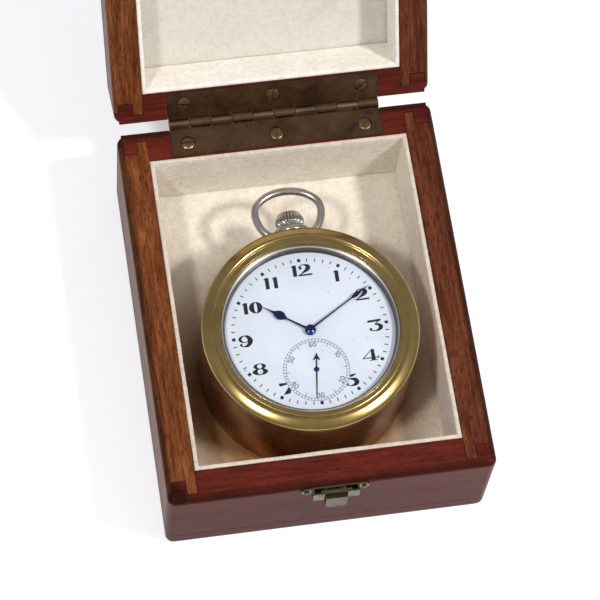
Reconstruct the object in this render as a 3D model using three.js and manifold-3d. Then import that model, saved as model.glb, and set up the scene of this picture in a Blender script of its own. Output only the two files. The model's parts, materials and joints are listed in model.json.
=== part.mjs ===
// A deck watch: a large keyless lever watch held in a round brass holder, in a fitted hardwood box.
// Millimetres. X runs to the right, Y to the hinge at the back, Z up from the box's underside.
// The lid stands open and the hands show nine and a half minutes past ten.
import * as THREE from "three";
import { mergeVertices } from "three/addons/utils/BufferGeometryUtils.js";
import Module from "manifold-3d";

const wasm = await Module();
wasm.setup();

// Box: its height, its boards, and the room left round and over the holder
const bodyHeight = 37.5;
const sideSpace = 6.3;
const frontSpace = 3.65;
const backSpace = 30.45;
const lidHeadroom = 4.95;
const sideWall = 9.2;
const endWall = 9.7;
const bottomBoard = 7;
const topBoard = 6.6;
const cornerRadius = 2.5;
const edgeRounding = 1.8;
const rimGap = 0.1;
const glueLine = 0.1;
const lidOpening = 123;

// Corner joint: how far the side wall's tongues reach past the end wall's inner face
const innerTongueWidth = 3.2;
const innerTongueReach = 7;
const middleReach = 2.7;
const outerLipWidth = 1.4;
const outerLipReach = 6;

// Felt lining of the box and the covered board under the holder
const liningThickness = 1.3;
const liningGap = 0.1;
const floorBoardThickness = 5.3;

// Butt hinge and its screws
const hingeLength = 66.7;
const hingeCentre = 0.15;
const knuckleCount = 10;
const knuckleGap = 0.16;
const barrelRadius = 1.65;
const hingePinRadius = 0.75;
const hingePinClearance = 0.08;
const hingeAxisBehind = 1.9;
const leafThickness = 1.2;
const leafMargin = 0.5;
const hingeScrewInset = 5.25;
const screwHeadRadius = 2.15;
const screwShankRadius = 0.9;
const screwLength = 7;
const screwSlotWidth = 0.5;
const screwSlotDepth = 0.6;
const screwClearance = 0.1;

// Push-button latch on the front
const latchCentre = 0.4;
const latchWidth = 14.2;
const latchDepth = 2.6;
const latchHeight = 5;
const latchTopDrop = 0.4;
const latchSheet = 0.5;
const latchSeat = 0.1;
const earSpan = 21;
const earHeight = 3.6;
const buttonWidth = 6.6;
const buttonHeight = 8;
const buttonProud = 1.3;
const buttonSide = 0.15;
const buttonFlange = 1.1;
const springSheet = 0.2;
const tongueWidth = 5.2;
const tongueSheet = 0.4;
const strikeHeight = 7;
const pinHeadRadius = 0.95;
const pinShankRadius = 0.5;
const pinLength = 4;

// Brass holder: a drum with a slot for the pendant, and the ring that keeps the watch down
const holderX = -0.3;
const drumShell = 3.2;
const drumBase = 1.5;
const drumWall = 1.6;
const drumNeckStep = 1;
const drumNeckHeight = 2.35;
const shelfWidth = 3.1;
const shelfThickness = 1.5;
const watchPlay = 0.5;
const drumSeat = 0.15;
const slotPlay = 0.4;
const ringProud = 0.15;
const ringShow = 1.45;
const ringThreadClearance = 0.1;
const ringRise = 1.4;
const holderScrewSpacing = 30;
const holderScrewHead = 2.6;
const holderScrewShank = 1.3;
const holderScrewHeadHeight = 1.4;
const holderScrewLength = 8.5;

// Watch case, measured from the dial's face and the watch's own axis
const dialAboveRim = 5;
const dialOverhang = 0.8;
const dialThickness = 0.7;
const secondsOffset = 12.7;
const movementPlay = 0.4;
const caseWall = 3.4;
const bezelHeight = 2.8;
const bezelCover = 0.5;
const backDepth = 14.3;
const backRimDepth = 10.9;
const backSheet = 0.9;
const partGap = 0.1;
const glassThickness = 0.9;

// Pendant, crown, stem and bow on the axis of winding
const stemDepth = 6.5;
const neckRadius = 4.3;
const pendantRadius = 6;
const pendantGap = 0.5;
const pendantLength = 3.6;
const crownRadius = 4.5;
const crownLength = 5.2;
const crownGap = 0.3;
const stemRadius = 0.75;
const stemClearance = 0.1;
const bowWireRadius = 1.22;
const bowHalfWidth = 10.35;
const bowReach = 5.8;
const bowRiseBack = 7;
const bowGap = 0.35;
const bowStudRadius = 0.7;

// Movement: plates and bridges stacked down from the dial
const motionDepth = 1.7;
const plateFloor = 1.4;
const trainSpace = 4;
const bridgeThickness = 1.2;
const bridgeInset = 1.4;
const footInset = 2.6;
const footRadius = 1.6;
const cockFootInset = 3.4;
const cockFootAngle = 183.6;
const windingWheelThickness = 0.8;
const pivotRadius = 0.35;
const pivotClearance = 0.1;
const meshGap = 0.2;

// Teeth of the going train, of the motion work and of the winding work
const barrelTeeth = 78;
const centrePinionTeeth = 10;
const centreWheelTeeth = 64;
const thirdPinionTeeth = 8;
const thirdWheelTeeth = 60;
const fourthPinionTeeth = 8;
const fourthWheelTeeth = 70;
const escapePinionTeeth = 7;
const escapeWheelTeeth = 15;
const cannonTeeth = 10;
const minuteWheelTeeth = 30;
const minutePinionTeeth = 8;
const hourWheelTeeth = 32;
const windingPinionTeeth = 14;
const crownWheelTeeth = 24;
const ratchetTeeth = 30;

// Pitch radii of the driving wheels; each driven pinion's follows from the teeth
const barrelPitch = 8.8;
const barrelDepth = 2.4;
const centreWheelPitch = 6.6;
const thirdWheelPitch = 5.6;
const fourthWheelPitch = 5;
const escapeWheelPitch = 3.4;
const cannonPitch = 1.35;
const windingPinionPitch = 2.5;
const windingPinionLength = 2.4;
const crownWheelPitch = (windingPinionPitch * crownWheelTeeth) / windingPinionTeeth;
const ratchetPitch = (windingPinionPitch * ratchetTeeth) / windingPinionTeeth;
const barrelArborRadius = 0.9;
const balanceRadius = 7;
const escapeToBalance = 9.64;
const balanceClearance = 1.87;
const balanceEdge = 2.115;
const springPitch = 0.7;
const springTurns = 4;
const springStrip = 0.2;
const rollerRadius = 1.3;
const bridgeSplit = 2.6;
const splitGap = 0.4;

// Hands, their reach from their own centres, and the time that they show
const hourHandReach = 16.8;
const minuteHandReach = 23.4;
const secondsHandReach = 9.4;
const secondsTailReach = 5.6;
const hourAngle = 304.8;
const minuteAngle = 58.5;
const secondsAngle = 188;
const handSheet = 0.22;
const centreArborRadius = 0.6;
const hourPipeWall = 0.35;
const hubWall = 0.6;
const secondsPostRadius = 0.45;
const handGap = 0.3;

// Fineness of round pieces
const bigSides = 40;
const midSides = 20;
const screwSides = 10;
const smallSides = 8;

// Pitch radii of the driven pinions, from the teeth
const centrePinionPitch = (barrelPitch * centrePinionTeeth) / barrelTeeth;
const thirdPinionPitch = (centreWheelPitch * thirdPinionTeeth) / centreWheelTeeth;
const fourthPinionPitch = (thirdWheelPitch * fourthPinionTeeth) / thirdWheelTeeth;
const escapePinionPitch = (fourthWheelPitch * escapePinionTeeth) / fourthWheelTeeth;
const minuteWheelPitch = (cannonPitch * minuteWheelTeeth) / cannonTeeth;
const minuteDistance = cannonPitch + minuteWheelPitch + meshGap;
const minuteModule = (minuteDistance - meshGap) / (minutePinionTeeth + hourWheelTeeth);
const minutePinionPitch = minuteModule * minutePinionTeeth;
const hourWheelPitch = minuteModule * hourWheelTeeth;

// The point at given distances from two others, on the left of the way from the first to the second
function meeting([x1, y1], r1, [x2, y2], r2) {
  const distance = Math.hypot(x2 - x1, y2 - y1);
  const along = (r1 ** 2 - r2 ** 2 + distance ** 2) / (2 * distance);
  const aside = Math.sqrt(r1 ** 2 - along ** 2);
  const [dx, dy] = [(x2 - x1) / distance, (y2 - y1) / distance];
  return [x1 + along * dx - aside * dy, y1 + along * dy + aside * dx];
}

// Where the arbors stand round the centre, and the plate that holds them all
const fourthPlace = [0, -secondsOffset];
const thirdFromCentre = centreWheelPitch + thirdPinionPitch + meshGap;
const thirdFromFourth = thirdWheelPitch + fourthPinionPitch + meshGap;
const [thirdX, thirdY] = meeting([0, 0], thirdFromCentre, fourthPlace, thirdFromFourth);
const escapeFromFourth = fourthWheelPitch + escapePinionPitch + meshGap;
const escapeAngle = THREE.MathUtils.degToRad(200);
const escapeX = escapeFromFourth * Math.cos(escapeAngle);
const escapeY = escapeFromFourth * Math.sin(escapeAngle) - secondsOffset;
const balanceFromFourth = balanceRadius + fourthWheelPitch + balanceClearance;
const [balanceX, balanceY] = meeting([escapeX, escapeY], escapeToBalance, fourthPlace, balanceFromFourth);
const plateRadius = Math.hypot(balanceX, balanceY) + balanceRadius + balanceEdge;
const barrelFromCentre = barrelPitch + centrePinionPitch + meshGap * 2;
const barrelX = -barrelFromCentre * Math.SQRT1_2;
const barrelY = barrelFromCentre * Math.SQRT1_2;

// From the movement outwards: dial, case, holder, and the box round them
const dialRadius = plateRadius + dialOverhang;
const caseInnerRadius = plateRadius + movementPlay;
const caseRadius = caseInnerRadius + caseWall;
const bezelOpening = dialRadius - bezelCover;
const bridgeRadius = plateRadius - bridgeInset;
const drumBore = caseRadius + watchPlay;
const drumRadius = drumBore + drumShell;
const ringRadius = drumRadius + ringProud;
const ringOpening = bezelOpening + ringShow;
const pendantStart = drumRadius + pendantGap;
const pendantEnd = pendantStart + pendantLength;
const bowCentre = pendantEnd + bowReach;
const liningDepth = liningThickness + liningGap;
const boxWidth = 2 * (drumRadius + sideSpace + liningDepth + sideWall);
const boxLength = 2 * (drumRadius + liningDepth + endWall) + frontSpace + backSpace;
const holderY = endWall + liningDepth + frontSpace + drumRadius - boxLength / 2;

// Levels that everything else hangs on
const rim = bodyHeight;
const frontFace = -boxLength / 2;
const backFace = boxLength / 2;
const innerHalfX = boxWidth / 2 - sideWall;
const innerFront = frontFace + endWall;
const innerBack = backFace - endWall;
const floorBoardTop = bottomBoard + glueLine + floorBoardThickness;
const hingeY = backFace + hingeAxisBehind;
const dialFace = rim + dialAboveRim;
const dialBack = dialFace - dialThickness;
const plateTop = dialBack - partGap;
const motionFloor = plateTop - motionDepth;
const plateBack = motionFloor - plateFloor;
const bridgeFace = plateBack - trainSpace;
const bridgeBack = bridgeFace - bridgeThickness;
const bezelTop = dialFace + bezelHeight;
const stemAxis = dialFace - stemDepth;
const ringLip = bezelTop + 0.15;
const ringTop = ringLip + ringRise;
const lidHeight = ringTop - rim + lidHeadroom + liningThickness + glueLine * 2 + topBoard;

// A closed solid from a geometry: only places are kept and shared corners are merged
function solidOf(geometry) {
  const bare = geometry.clone();
  bare.deleteAttribute("normal");
  bare.deleteAttribute("uv");
  const merged = mergeVertices(bare, 1e-4);
  const vertProperties = merged.attributes.position.array;
  const triVerts = new Uint32Array(merged.index.array);
  return new wasm.Manifold(new wasm.Mesh({ numProp: 3, vertProperties, triVerts }));
}

function geometryOf(solid) {
  const mesh = solid.getMesh();
  const geometry = new THREE.BufferGeometry();
  geometry.setAttribute("position", new THREE.BufferAttribute(mesh.vertProperties, 3));
  geometry.setIndex(new THREE.BufferAttribute(mesh.triVerts, 1));
  geometry.computeVertexNormals();
  return geometry;
}

function joined(...solids) {
  return solids.reduce((whole, piece) => whole.add(piece));
}

function cutBy(solid, ...tools) {
  return tools.reduce((rest, tool) => rest.subtract(tool), solid);
}

function block(x0, x1, y0, y1, z0, z1) {
  const geometry = new THREE.BoxGeometry(x1 - x0, y1 - y0, z1 - z0);
  geometry.translate((x0 + x1) / 2, (y0 + y1) / 2, (z0 + z1) / 2);
  return solidOf(geometry);
}

// A flat outline with thickness between two levels
function slab(shape, z0, z1, curveSegments = 8) {
  const options = { depth: z1 - z0, bevelEnabled: false, curveSegments };
  const geometry = new THREE.ExtrudeGeometry(shape, options);
  geometry.translate(0, 0, z0);
  return solidOf(geometry);
}

function polygon(points) {
  return new THREE.Shape(points.map(([x, y]) => new THREE.Vector2(x, y)));
}

// A round rod along one axis, from and to measured on that axis, at a place across it
function rod(axis, radius, from, to, across = [0, 0], sides = smallSides) {
  const geometry = new THREE.CylinderGeometry(radius, radius, to - from, sides);
  const middle = (from + to) / 2;
  if (axis === "x") {
    geometry.rotateZ(-Math.PI / 2);
    geometry.translate(middle, across[0], across[1]);
  } else if (axis === "y") {
    geometry.translate(across[0], middle, across[1]);
  } else {
    geometry.rotateX(Math.PI / 2);
    geometry.translate(across[0], across[1], middle);
  }
  return solidOf(geometry);
}

function signedArea(points) {
  let area = 0;
  points.forEach(([x, y], index) => {
    const [nextX, nextY] = points[(index + 1) % points.length];
    area += (x * nextY - nextX * y) / 2;
  });
  return area;
}

// A turned piece: pairs of radius and height, closed through the axis or on themselves
function turned(profile, sides = bigSides, axis = "z") {
  const ordered = signedArea(profile) > 0 ? [...profile] : [...profile].reverse();
  const onAxis = ordered.some(([radius]) => radius === 0);
  if (onAxis) {
    while (!(ordered[0][0] === 0 && ordered[ordered.length - 1][0] === 0)) {
      ordered.push(ordered.shift());
    }
  } else {
    ordered.push(ordered[0]);
  }
  const points = ordered.map(([radius, height]) => new THREE.Vector2(radius, height));
  const geometry = new THREE.LatheGeometry(points, sides);
  if (axis === "z") geometry.rotateX(Math.PI / 2);
  return solidOf(geometry);
}

function arcPoints(x, y, radius, from, to, steps) {
  return Array.from({ length: steps + 1 }, (_, index) => {
    const angle = from + ((to - from) * index) / steps;
    return [x + radius * Math.cos(angle), y + radius * Math.sin(angle)];
  });
}

function disc(radius, z0, z1, x = 0, y = 0, sides = smallSides) {
  return rod("z", radius, z0, z1, [x, y], sides);
}

// A bar with two round ends of different radius
function bar(x1, y1, r1, x2, y2, r2, steps = 6) {
  const along = Math.atan2(y2 - y1, x2 - x1);
  const lean = Math.acos((r1 - r2) / Math.hypot(x2 - x1, y2 - y1));
  const first = arcPoints(x1, y1, r1, along + lean, along + 2 * Math.PI - lean, steps);
  const second = arcPoints(x2, y2, r2, along - lean, along + lean, steps);
  return polygon([...first, ...second]);
}

// A toothed outline: the teeth end inside the pitch radius, so that wheels in mesh never touch
function toothedShape(radius, teeth, depth) {
  const points = [];
  for (let tooth = 0; tooth < teeth; tooth++) {
    const angle = (2 * Math.PI * tooth) / teeth;
    const half = Math.PI / teeth;
    points.push([radius * Math.cos(angle), radius * Math.sin(angle)]);
    const root = radius - depth;
    points.push([root * Math.cos(angle + half), root * Math.sin(angle + half)]);
  }
  return polygon(points);
}

// Openings between the arms of a wheel
function crossings(shape, inner, outer, arms, armWidth) {
  for (let arm = 0; arm < arms; arm++) {
    const start = (2 * Math.PI * arm) / arms;
    const end = start + (2 * Math.PI) / arms;
    const outerSlack = armWidth / 2 / outer;
    const innerSlack = armWidth / 2 / inner;
    const rimSide = arcPoints(0, 0, outer, start + outerSlack, end - outerSlack, 3);
    const hubSide = arcPoints(0, 0, inner, end - innerSlack, start + innerSlack, 1);
    shape.holes.push(polygon([...rimSide, ...hubSide]));
  }
  return shape;
}

function wheel(radius, teeth, z0, z1, x, y, arms = 4) {
  const depth = 0.4;
  const shape = toothedShape(radius, teeth, depth);
  if (arms) crossings(shape, 1.5, radius - depth - 0.7, arms, 0.7);
  return slab(shape, z0, z1).translate(x, y, 0);
}

function pinion(radius, leaves, z0, z1, x, y) {
  return slab(toothedShape(radius, leaves, 0.25), z0, z1).translate(x, y, 0);
}

function finish(color, roughness, metalness) {
  return { color, roughness, metalness };
}

const mahoganyEnd = finish(0x6b2a22, 0.4, 0);
const mahoganySide = finish(0x7c4a26, 0.4, 0);
const felt = finish(0xe0d8c6, 0.95, 0);
const agedBrass = finish(0x8a7440, 0.35, 1);
const hingeBrass = finish(0x7d6534, 0.5, 1);
const silver = finish(0xb9b7b4, 0.25, 1);
const enamel = finish(0xeceff3, 0.15, 0);
const bluedSteel = finish(0x171b33, 0.3, 1);
const clearGlass = finish(0xf4f8fa, 0.05, 0);
const giltBrass = finish(0xc2a45c, 0.35, 1);
const steel = finish(0x9a9da1, 0.3, 1);

function part(name, solid, look) {
  const mesh = new THREE.Mesh(geometryOf(solid), new THREE.MeshStandardMaterial(look));
  mesh.name = name;
  return mesh;
}

// Boards of the box

// The rounded block that the boards of the body or of the lid are cut from
function roundedBlock(z0, z1) {
  const halfX = boxWidth / 2;
  const halfY = boxLength / 2;
  const r = cornerRadius;
  const shape = new THREE.Shape();
  shape.absarc(halfX - r, halfY - r, r, 0, Math.PI / 2);
  shape.absarc(r - halfX, halfY - r, r, Math.PI / 2, Math.PI);
  shape.absarc(r - halfX, r - halfY, r, Math.PI, 1.5 * Math.PI);
  shape.absarc(halfX - r, r - halfY, r, 1.5 * Math.PI, 2 * Math.PI);
  shape.closePath();
  const geometry = new THREE.ExtrudeGeometry(shape, {
    depth: z1 - z0 - 2 * edgeRounding,
    bevelEnabled: true,
    bevelThickness: edgeRounding,
    bevelSize: edgeRounding,
    bevelOffset: -edgeRounding,
    bevelSegments: 3,
    curveSegments: 3,
  });
  geometry.translate(0, 0, z0 + edgeRounding);
  return solidOf(geometry);
}

// The side wall's outline, with the tongues that lock into the end walls at both ends
function sideWallShape() {
  const outer = boxWidth / 2;
  const lipInside = outer - outerLipWidth;
  const tongueOutside = innerHalfX + innerTongueWidth;
  const points = [];
  for (const end of [-1, 1]) {
    const face = end * (boxLength / 2 - endWall);
    const steps = [
      [innerHalfX, face + end * innerTongueReach],
      [tongueOutside, face + end * innerTongueReach],
      [tongueOutside, face + end * middleReach],
      [lipInside, face + end * middleReach],
      [lipInside, face + end * outerLipReach],
      [outer, face + end * outerLipReach],
    ];
    points.push(...(end < 0 ? steps : steps.reverse()));
  }
  return polygon(points);
}

// The end wall fills what the side walls leave of the corner, less the glue line
function endWallShape(end) {
  const outer = boxWidth / 2;
  const lipInside = outer - outerLipWidth - glueLine;
  const tongueOutside = innerHalfX + innerTongueWidth + glueLine;
  const tongueInside = innerHalfX - glueLine;
  const face = end * (boxLength / 2 - endWall);
  const outside = end * (boxLength / 2);
  const reach = (depth) => face + end * (depth + glueLine);
  const right = [
    [outer, outside],
    [outer, reach(outerLipReach)],
    [lipInside, reach(outerLipReach)],
    [lipInside, reach(middleReach)],
    [tongueOutside, reach(middleReach)],
    [tongueOutside, reach(innerTongueReach)],
    [tongueInside, reach(innerTongueReach)],
    [tongueInside, face],
  ];
  const left = [...right].reverse().map(([x, y]) => [-x, y]);
  return polygon([...right, ...left]);
}

function boardSet(z0, z1, whole) {
  const side = slab(sideWallShape(), z0, z1).intersect(whole);
  return {
    front: slab(endWallShape(-1), z0, z1).intersect(whole),
    back: slab(endWallShape(1), z0, z1).intersect(whole),
    right: side,
    left: side.mirror([1, 0, 0]),
  };
}

// Hinge

const leafFront = innerBack + leafMargin;
const hingeStart = hingeCentre - hingeLength / 2;
const knuckleLength = hingeLength / knuckleCount;
const leafClear = hingeY - barrelRadius - 0.2;

// One leaf in the closed pose; side is -1 for the box's leaf under the rim and 1 for the lid's
function hingeLeaf(side) {
  const seat = rim + (side > 0 ? rimGap : 0);
  const z0 = side > 0 ? seat : seat - leafThickness;
  const z1 = z0 + leafThickness;
  const end = hingeStart + hingeLength;
  let leaf = block(hingeStart, end, leafFront, leafClear, z0, z1);
  for (let index = 0; index < knuckleCount; index++) {
    const isBoxKnuckle = index % 2 === 0;
    if (isBoxKnuckle !== side < 0) continue;
    const x0 = hingeStart + index * knuckleLength + knuckleGap / 2;
    const x1 = x0 + knuckleLength - knuckleGap;
    const arm = block(x0, x1, leafClear - 1, hingeY, z0, z1);
    const knuckle = rod("x", barrelRadius, x0, x1, [hingeY, rim], screwSides);
    leaf = joined(leaf, arm, knuckle);
  }
  const bore = hingePinRadius + hingePinClearance;
  leaf = cutBy(leaf, rod("x", bore, hingeStart - 1, end + 1, [hingeY, rim]));
  return cutBy(leaf, ...hingeScrews(side, screwClearance));
}

function hingePin() {
  return rod("x", hingePinRadius, hingeStart, hingeStart + hingeLength, [hingeY, rim]);
}

const hingeScrewY = (innerBack + backFace) / 2;

// A slotted countersunk screw with its head flush in the leaf; spare makes the hole's tool
function hingeScrew(side, place, turn, spare = 0) {
  const top = rim + (side > 0 ? rimGap : 0);
  const shank = screwShankRadius + spare;
  const head = screwHeadRadius + spare;
  const cone = head - shank;
  const profile = [
    [0, spare * 3],
    [head, spare * 3],
    [head, -0.25],
    [shank, -0.25 - cone],
    [shank, -screwLength - spare],
    [0, -screwLength - 0.6 - spare],
  ];
  let screw = turned(profile, screwSides);
  if (!spare) {
    const slotHalf = screwSlotWidth / 2;
    const slot = block(-screwHeadRadius, screwHeadRadius, -slotHalf, slotHalf, -screwSlotDepth, 1);
    screw = cutBy(screw, slot.rotate([0, 0, turn]));
  }
  if (side > 0) screw = screw.rotate([180, 0, 0]);
  return screw.translate(place, hingeScrewY, top);
}

const hingeScrewSpacing = hingeLength / 2 - hingeScrewInset;
const hingeScrewPlaces = [
  ["left", hingeCentre - hingeScrewSpacing],
  ["middle", hingeCentre],
  ["right", hingeCentre + hingeScrewSpacing],
];
const boxScrewTurns = { left: -3, middle: 86, right: 9 };
const lidScrewTurns = { left: -5, middle: 79, right: 33 };

function hingeScrews(side, spare) {
  return hingeScrewPlaces.map(([, place]) => hingeScrew(side, place, 0, spare));
}

// The recess in the rim that a leaf is let into
function leafMortise(side) {
  const play = 0.1;
  const end = hingeStart + hingeLength;
  const seat = rim + (side > 0 ? rimGap : 0);
  const z0 = side > 0 ? seat - 1 : seat - leafThickness - play;
  const z1 = side > 0 ? seat + leafThickness + play : seat + 1;
  const back = hingeY + barrelRadius;
  return block(hingeStart - play, end + play, leafFront - play, back, z0, z1);
}

// Latch

const latchBack = frontFace - latchSeat;
const latchFront = frontFace - latchDepth;
const latchTop = rim - latchTopDrop;
const latchBottom = latchTop - latchHeight;
const notchHalf = buttonWidth / 2 + buttonSide;
const earMiddle = (latchTop + latchBottom) / 2 + 0.3;
const earPinX = (latchWidth / 2 + earSpan / 2) / 2;

function latchHousing() {
  const half = latchWidth / 2;
  const sheet = latchSheet;
  const plateFront = latchBack - sheet;
  const ears = slab(bar(-earSpan / 2 + earHeight / 2, 0, earHeight / 2, earSpan / 2 - earHeight / 2, 0,
    earHeight / 2), 0, sheet);
  const plate = ears.rotate([90, 0, 0]).translate(0, latchBack, earMiddle);
  const back = block(-half, half, plateFront, latchBack, latchBottom, latchTop);
  const cheeks = [-1, 1].map((side) => {
    const outer = side * half;
    const inner = side * (half - sheet);
    const notch = side * notchHalf;
    const low = Math.min(outer, inner);
    const high = Math.max(outer, inner);
    const from = Math.min(outer, notch);
    const to = Math.max(outer, notch);
    return joined(
      block(low, high, latchFront, latchBack, latchBottom, latchTop),
      block(from, to, latchFront, latchFront + sheet, latchBottom, latchTop),
      block(from, to, latchFront, latchBack, latchBottom, latchBottom + sheet),
    );
  });
  const pinHoles = [-1, 1].map((side) => latchPin(side, partGap));
  return cutBy(joined(plate, back, ...cheeks), ...pinHoles);
}

// A round-headed pin in an ear; spare makes the tool for its hole
function latchPin(side, spare = 0) {
  const shank = pinShankRadius + spare;
  const face = latchBack - latchSheet - partGap;
  const profile = [
    [0, face - pinHeadRadius * 0.7],
    [pinHeadRadius * 0.7, face - pinHeadRadius * 0.5],
    [pinHeadRadius, face],
    [shank, face],
    [shank, frontFace + pinLength],
    [0, frontFace + pinLength + 0.6],
  ];
  const hole = [
    [0, face - 2],
    [shank, face - 2],
    [shank, frontFace + pinLength + spare],
    [0, frontFace + pinLength + 0.6 + spare],
  ];
  const pin = turned(spare ? hole : profile, smallSides, "y");
  return pin.translate(side * earPinX, 0, earMiddle);
}

const flangeFront = latchFront + latchSheet + partGap;
const flangeBack = flangeFront + 0.5;

function latchButton() {
  const half = buttonWidth / 2;
  const top = latchTop - 0.9;
  const bottom = top - buttonHeight;
  const front = latchFront - buttonProud;
  const round = 0.9;
  const outline = polygon([
    [flangeBack, bottom + 0.4],
    [flangeBack, top],
    [front + round, top],
    ...arcPoints(front + round, top - round, round, Math.PI / 2, Math.PI, 3).slice(1),
    [front, bottom + 0.5],
    [front + 0.5, bottom],
  ]);
  const body = slab(outline, -half, half).rotate([90, 0, 90]);
  const flangeHalf = notchHalf + buttonFlange;
  const flangeBottom = latchBottom + latchSheet + partGap;
  const flange = block(-flangeHalf, flangeHalf, flangeFront, flangeBack, flangeBottom, top - 0.3);
  return joined(body, flange);
}

// The leaf that pushes the button out again, below the way of the lid's tongue
function latchSpring() {
  const seat = latchBack - latchSheet - 0.05;
  const top = latchTop - 3.9;
  const bottom = top - 4.4;
  const foot = block(-1.6, 1.6, frontFace - 0.05 - springSheet, frontFace - 0.05, bottom, bottom + 1.2);
  const riser = polygon([
    [frontFace - 0.05, bottom + 1],
    [seat, latchBottom - 0.4],
    [seat, top],
    [seat - springSheet, top],
    [seat - springSheet, latchBottom - 0.5],
    [frontFace - 0.05 - springSheet, bottom + 0.9],
  ]);
  const leaf = slab(riser, -1.6, 1.6).rotate([90, 0, 90]);
  return joined(foot, leaf);
}

// The lid's half of the latch in the closed pose: a plate, two driven spurs and a hooked tongue
function lidStrike() {
  const lidFoot = rim + rimGap;
  const plate = block(-5.6, 5.6, latchBack - latchSheet, latchBack, lidFoot + 0.3, lidFoot + strikeHeight);
  const half = tongueWidth / 2;
  const tongueBack = latchBack - latchSheet - partGap;
  const tongueFront = tongueBack - tongueSheet;
  const tongueBottom = latchTop - 3.6;
  const root = block(-half, half, tongueFront, latchBack - 0.2, lidFoot + 0.9, lidFoot + 2.2);
  const tongue = block(-half, half, tongueFront, tongueBack, tongueBottom, lidFoot + 2.2);
  const lip = block(-half, half, tongueFront - 0.2, tongueBack, tongueBottom, tongueBottom + 0.5);
  return joined(plate, root, tongue, lip, ...strikeSpurs(0));
}

function strikeSpurs(spare) {
  const radius = pinShankRadius + spare;
  const height = rim + rimGap + strikeHeight - 2.2;
  return [-1, 1].map((side) =>
    rod("y", radius, latchBack - 0.2, frontFace + pinLength + spare, [side * 3.6, height]),
  );
}

// Holder

const drumBottom = floorBoardTop + drumSeat;
const drumBaseTop = drumBottom + drumBase;
const drumShoulder = bezelTop - 0.2 - drumNeckHeight;
const drumTop = bezelTop - 0.2;
const neckRadiusOutside = drumRadius - drumNeckStep;
const shelfTop = backSurface(drumBore - shelfWidth) - 0.2;

// Height of the case back's outside at a radius
function backSurface(radius) {
  const share = Math.min(1, radius / caseRadius);
  return dialFace - backDepth + (backDepth - backRimDepth) * share ** 3;
}

function holderDrum() {
  const shelfInside = drumBore - shelfWidth;
  const shelfBottom = shelfTop - shelfThickness;
  const hollow = drumRadius - drumWall;
  const shell = turned([
    [0, drumBottom],
    [drumRadius, drumBottom],
    [drumRadius, drumShoulder],
    [neckRadiusOutside, drumShoulder],
    [neckRadiusOutside, drumTop],
    [drumBore, drumTop],
    [drumBore, shelfTop],
    [shelfInside, shelfTop],
    [shelfInside, shelfBottom],
    [hollow, shelfBottom - 1.5],
    [hollow, drumBaseTop],
    [0, drumBaseTop],
  ]);
  const half = neckRadius + slotPlay;
  const slot = joined(
    block(-half, half, drumBore - shelfWidth - 1, drumRadius + 1, stemAxis, drumTop + 1),
    rod("y", half, drumBore - shelfWidth - 1, drumRadius + 1, [0, stemAxis], midSides),
  );
  return cutBy(shell, slot, ...holderScrewHoles());
}

function holderScrewHoles() {
  const radius = holderScrewShank + screwClearance;
  return [-1, 1].map((side) =>
    disc(radius, drumBaseTop - holderScrewLength - screwClearance, drumBaseTop + 1,
      (side * holderScrewSpacing) / 2),
  );
}

function holderScrew(side) {
  const seat = drumBaseTop + 0.05;
  const screw = turned([
    [0, seat - holderScrewLength],
    [holderScrewShank, seat - holderScrewLength + 1],
    [holderScrewShank, seat],
    [holderScrewHead, seat],
    [holderScrewHead, seat + holderScrewHeadHeight * 0.6],
    [holderScrewHead * 0.6, seat + holderScrewHeadHeight],
    [0, seat + holderScrewHeadHeight],
  ], screwSides);
  const slotFloor = seat + holderScrewHeadHeight * 0.5;
  const slot = block(-holderScrewHead, holderScrewHead, -0.3, 0.3, slotFloor, slotFloor + 2);
  return cutBy(screw, slot).translate((side * holderScrewSpacing) / 2, 0, 0);
}

// The rounded ring: a thick outer round, a fine groove, and a flat inner lip over the bezel
function holderRing() {
  const skirtInside = neckRadiusOutside + ringThreadClearance;
  const bottom = drumShoulder + partGap;
  const top = ringTop;
  const groove = ringOpening + 1.85;
  return turned([
    [ringRadius, bottom],
    [ringRadius, top - 2.6],
    [ringRadius - 0.35, top - 1.5],
    [ringRadius - 1.1, top - 0.6],
    [ringRadius - 2.1, top],
    [ringRadius - 3, top - 0.15],
    [groove + 0.2, top - 0.9],
    [groove - 0.1, top - 0.95],
    [groove - 0.3, top - 0.6],
    [ringOpening, top - 0.85],
    [ringOpening, ringLip],
    [skirtInside, ringLip],
    [skirtInside, bottom],
  ]);
}

// Watch case

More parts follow.
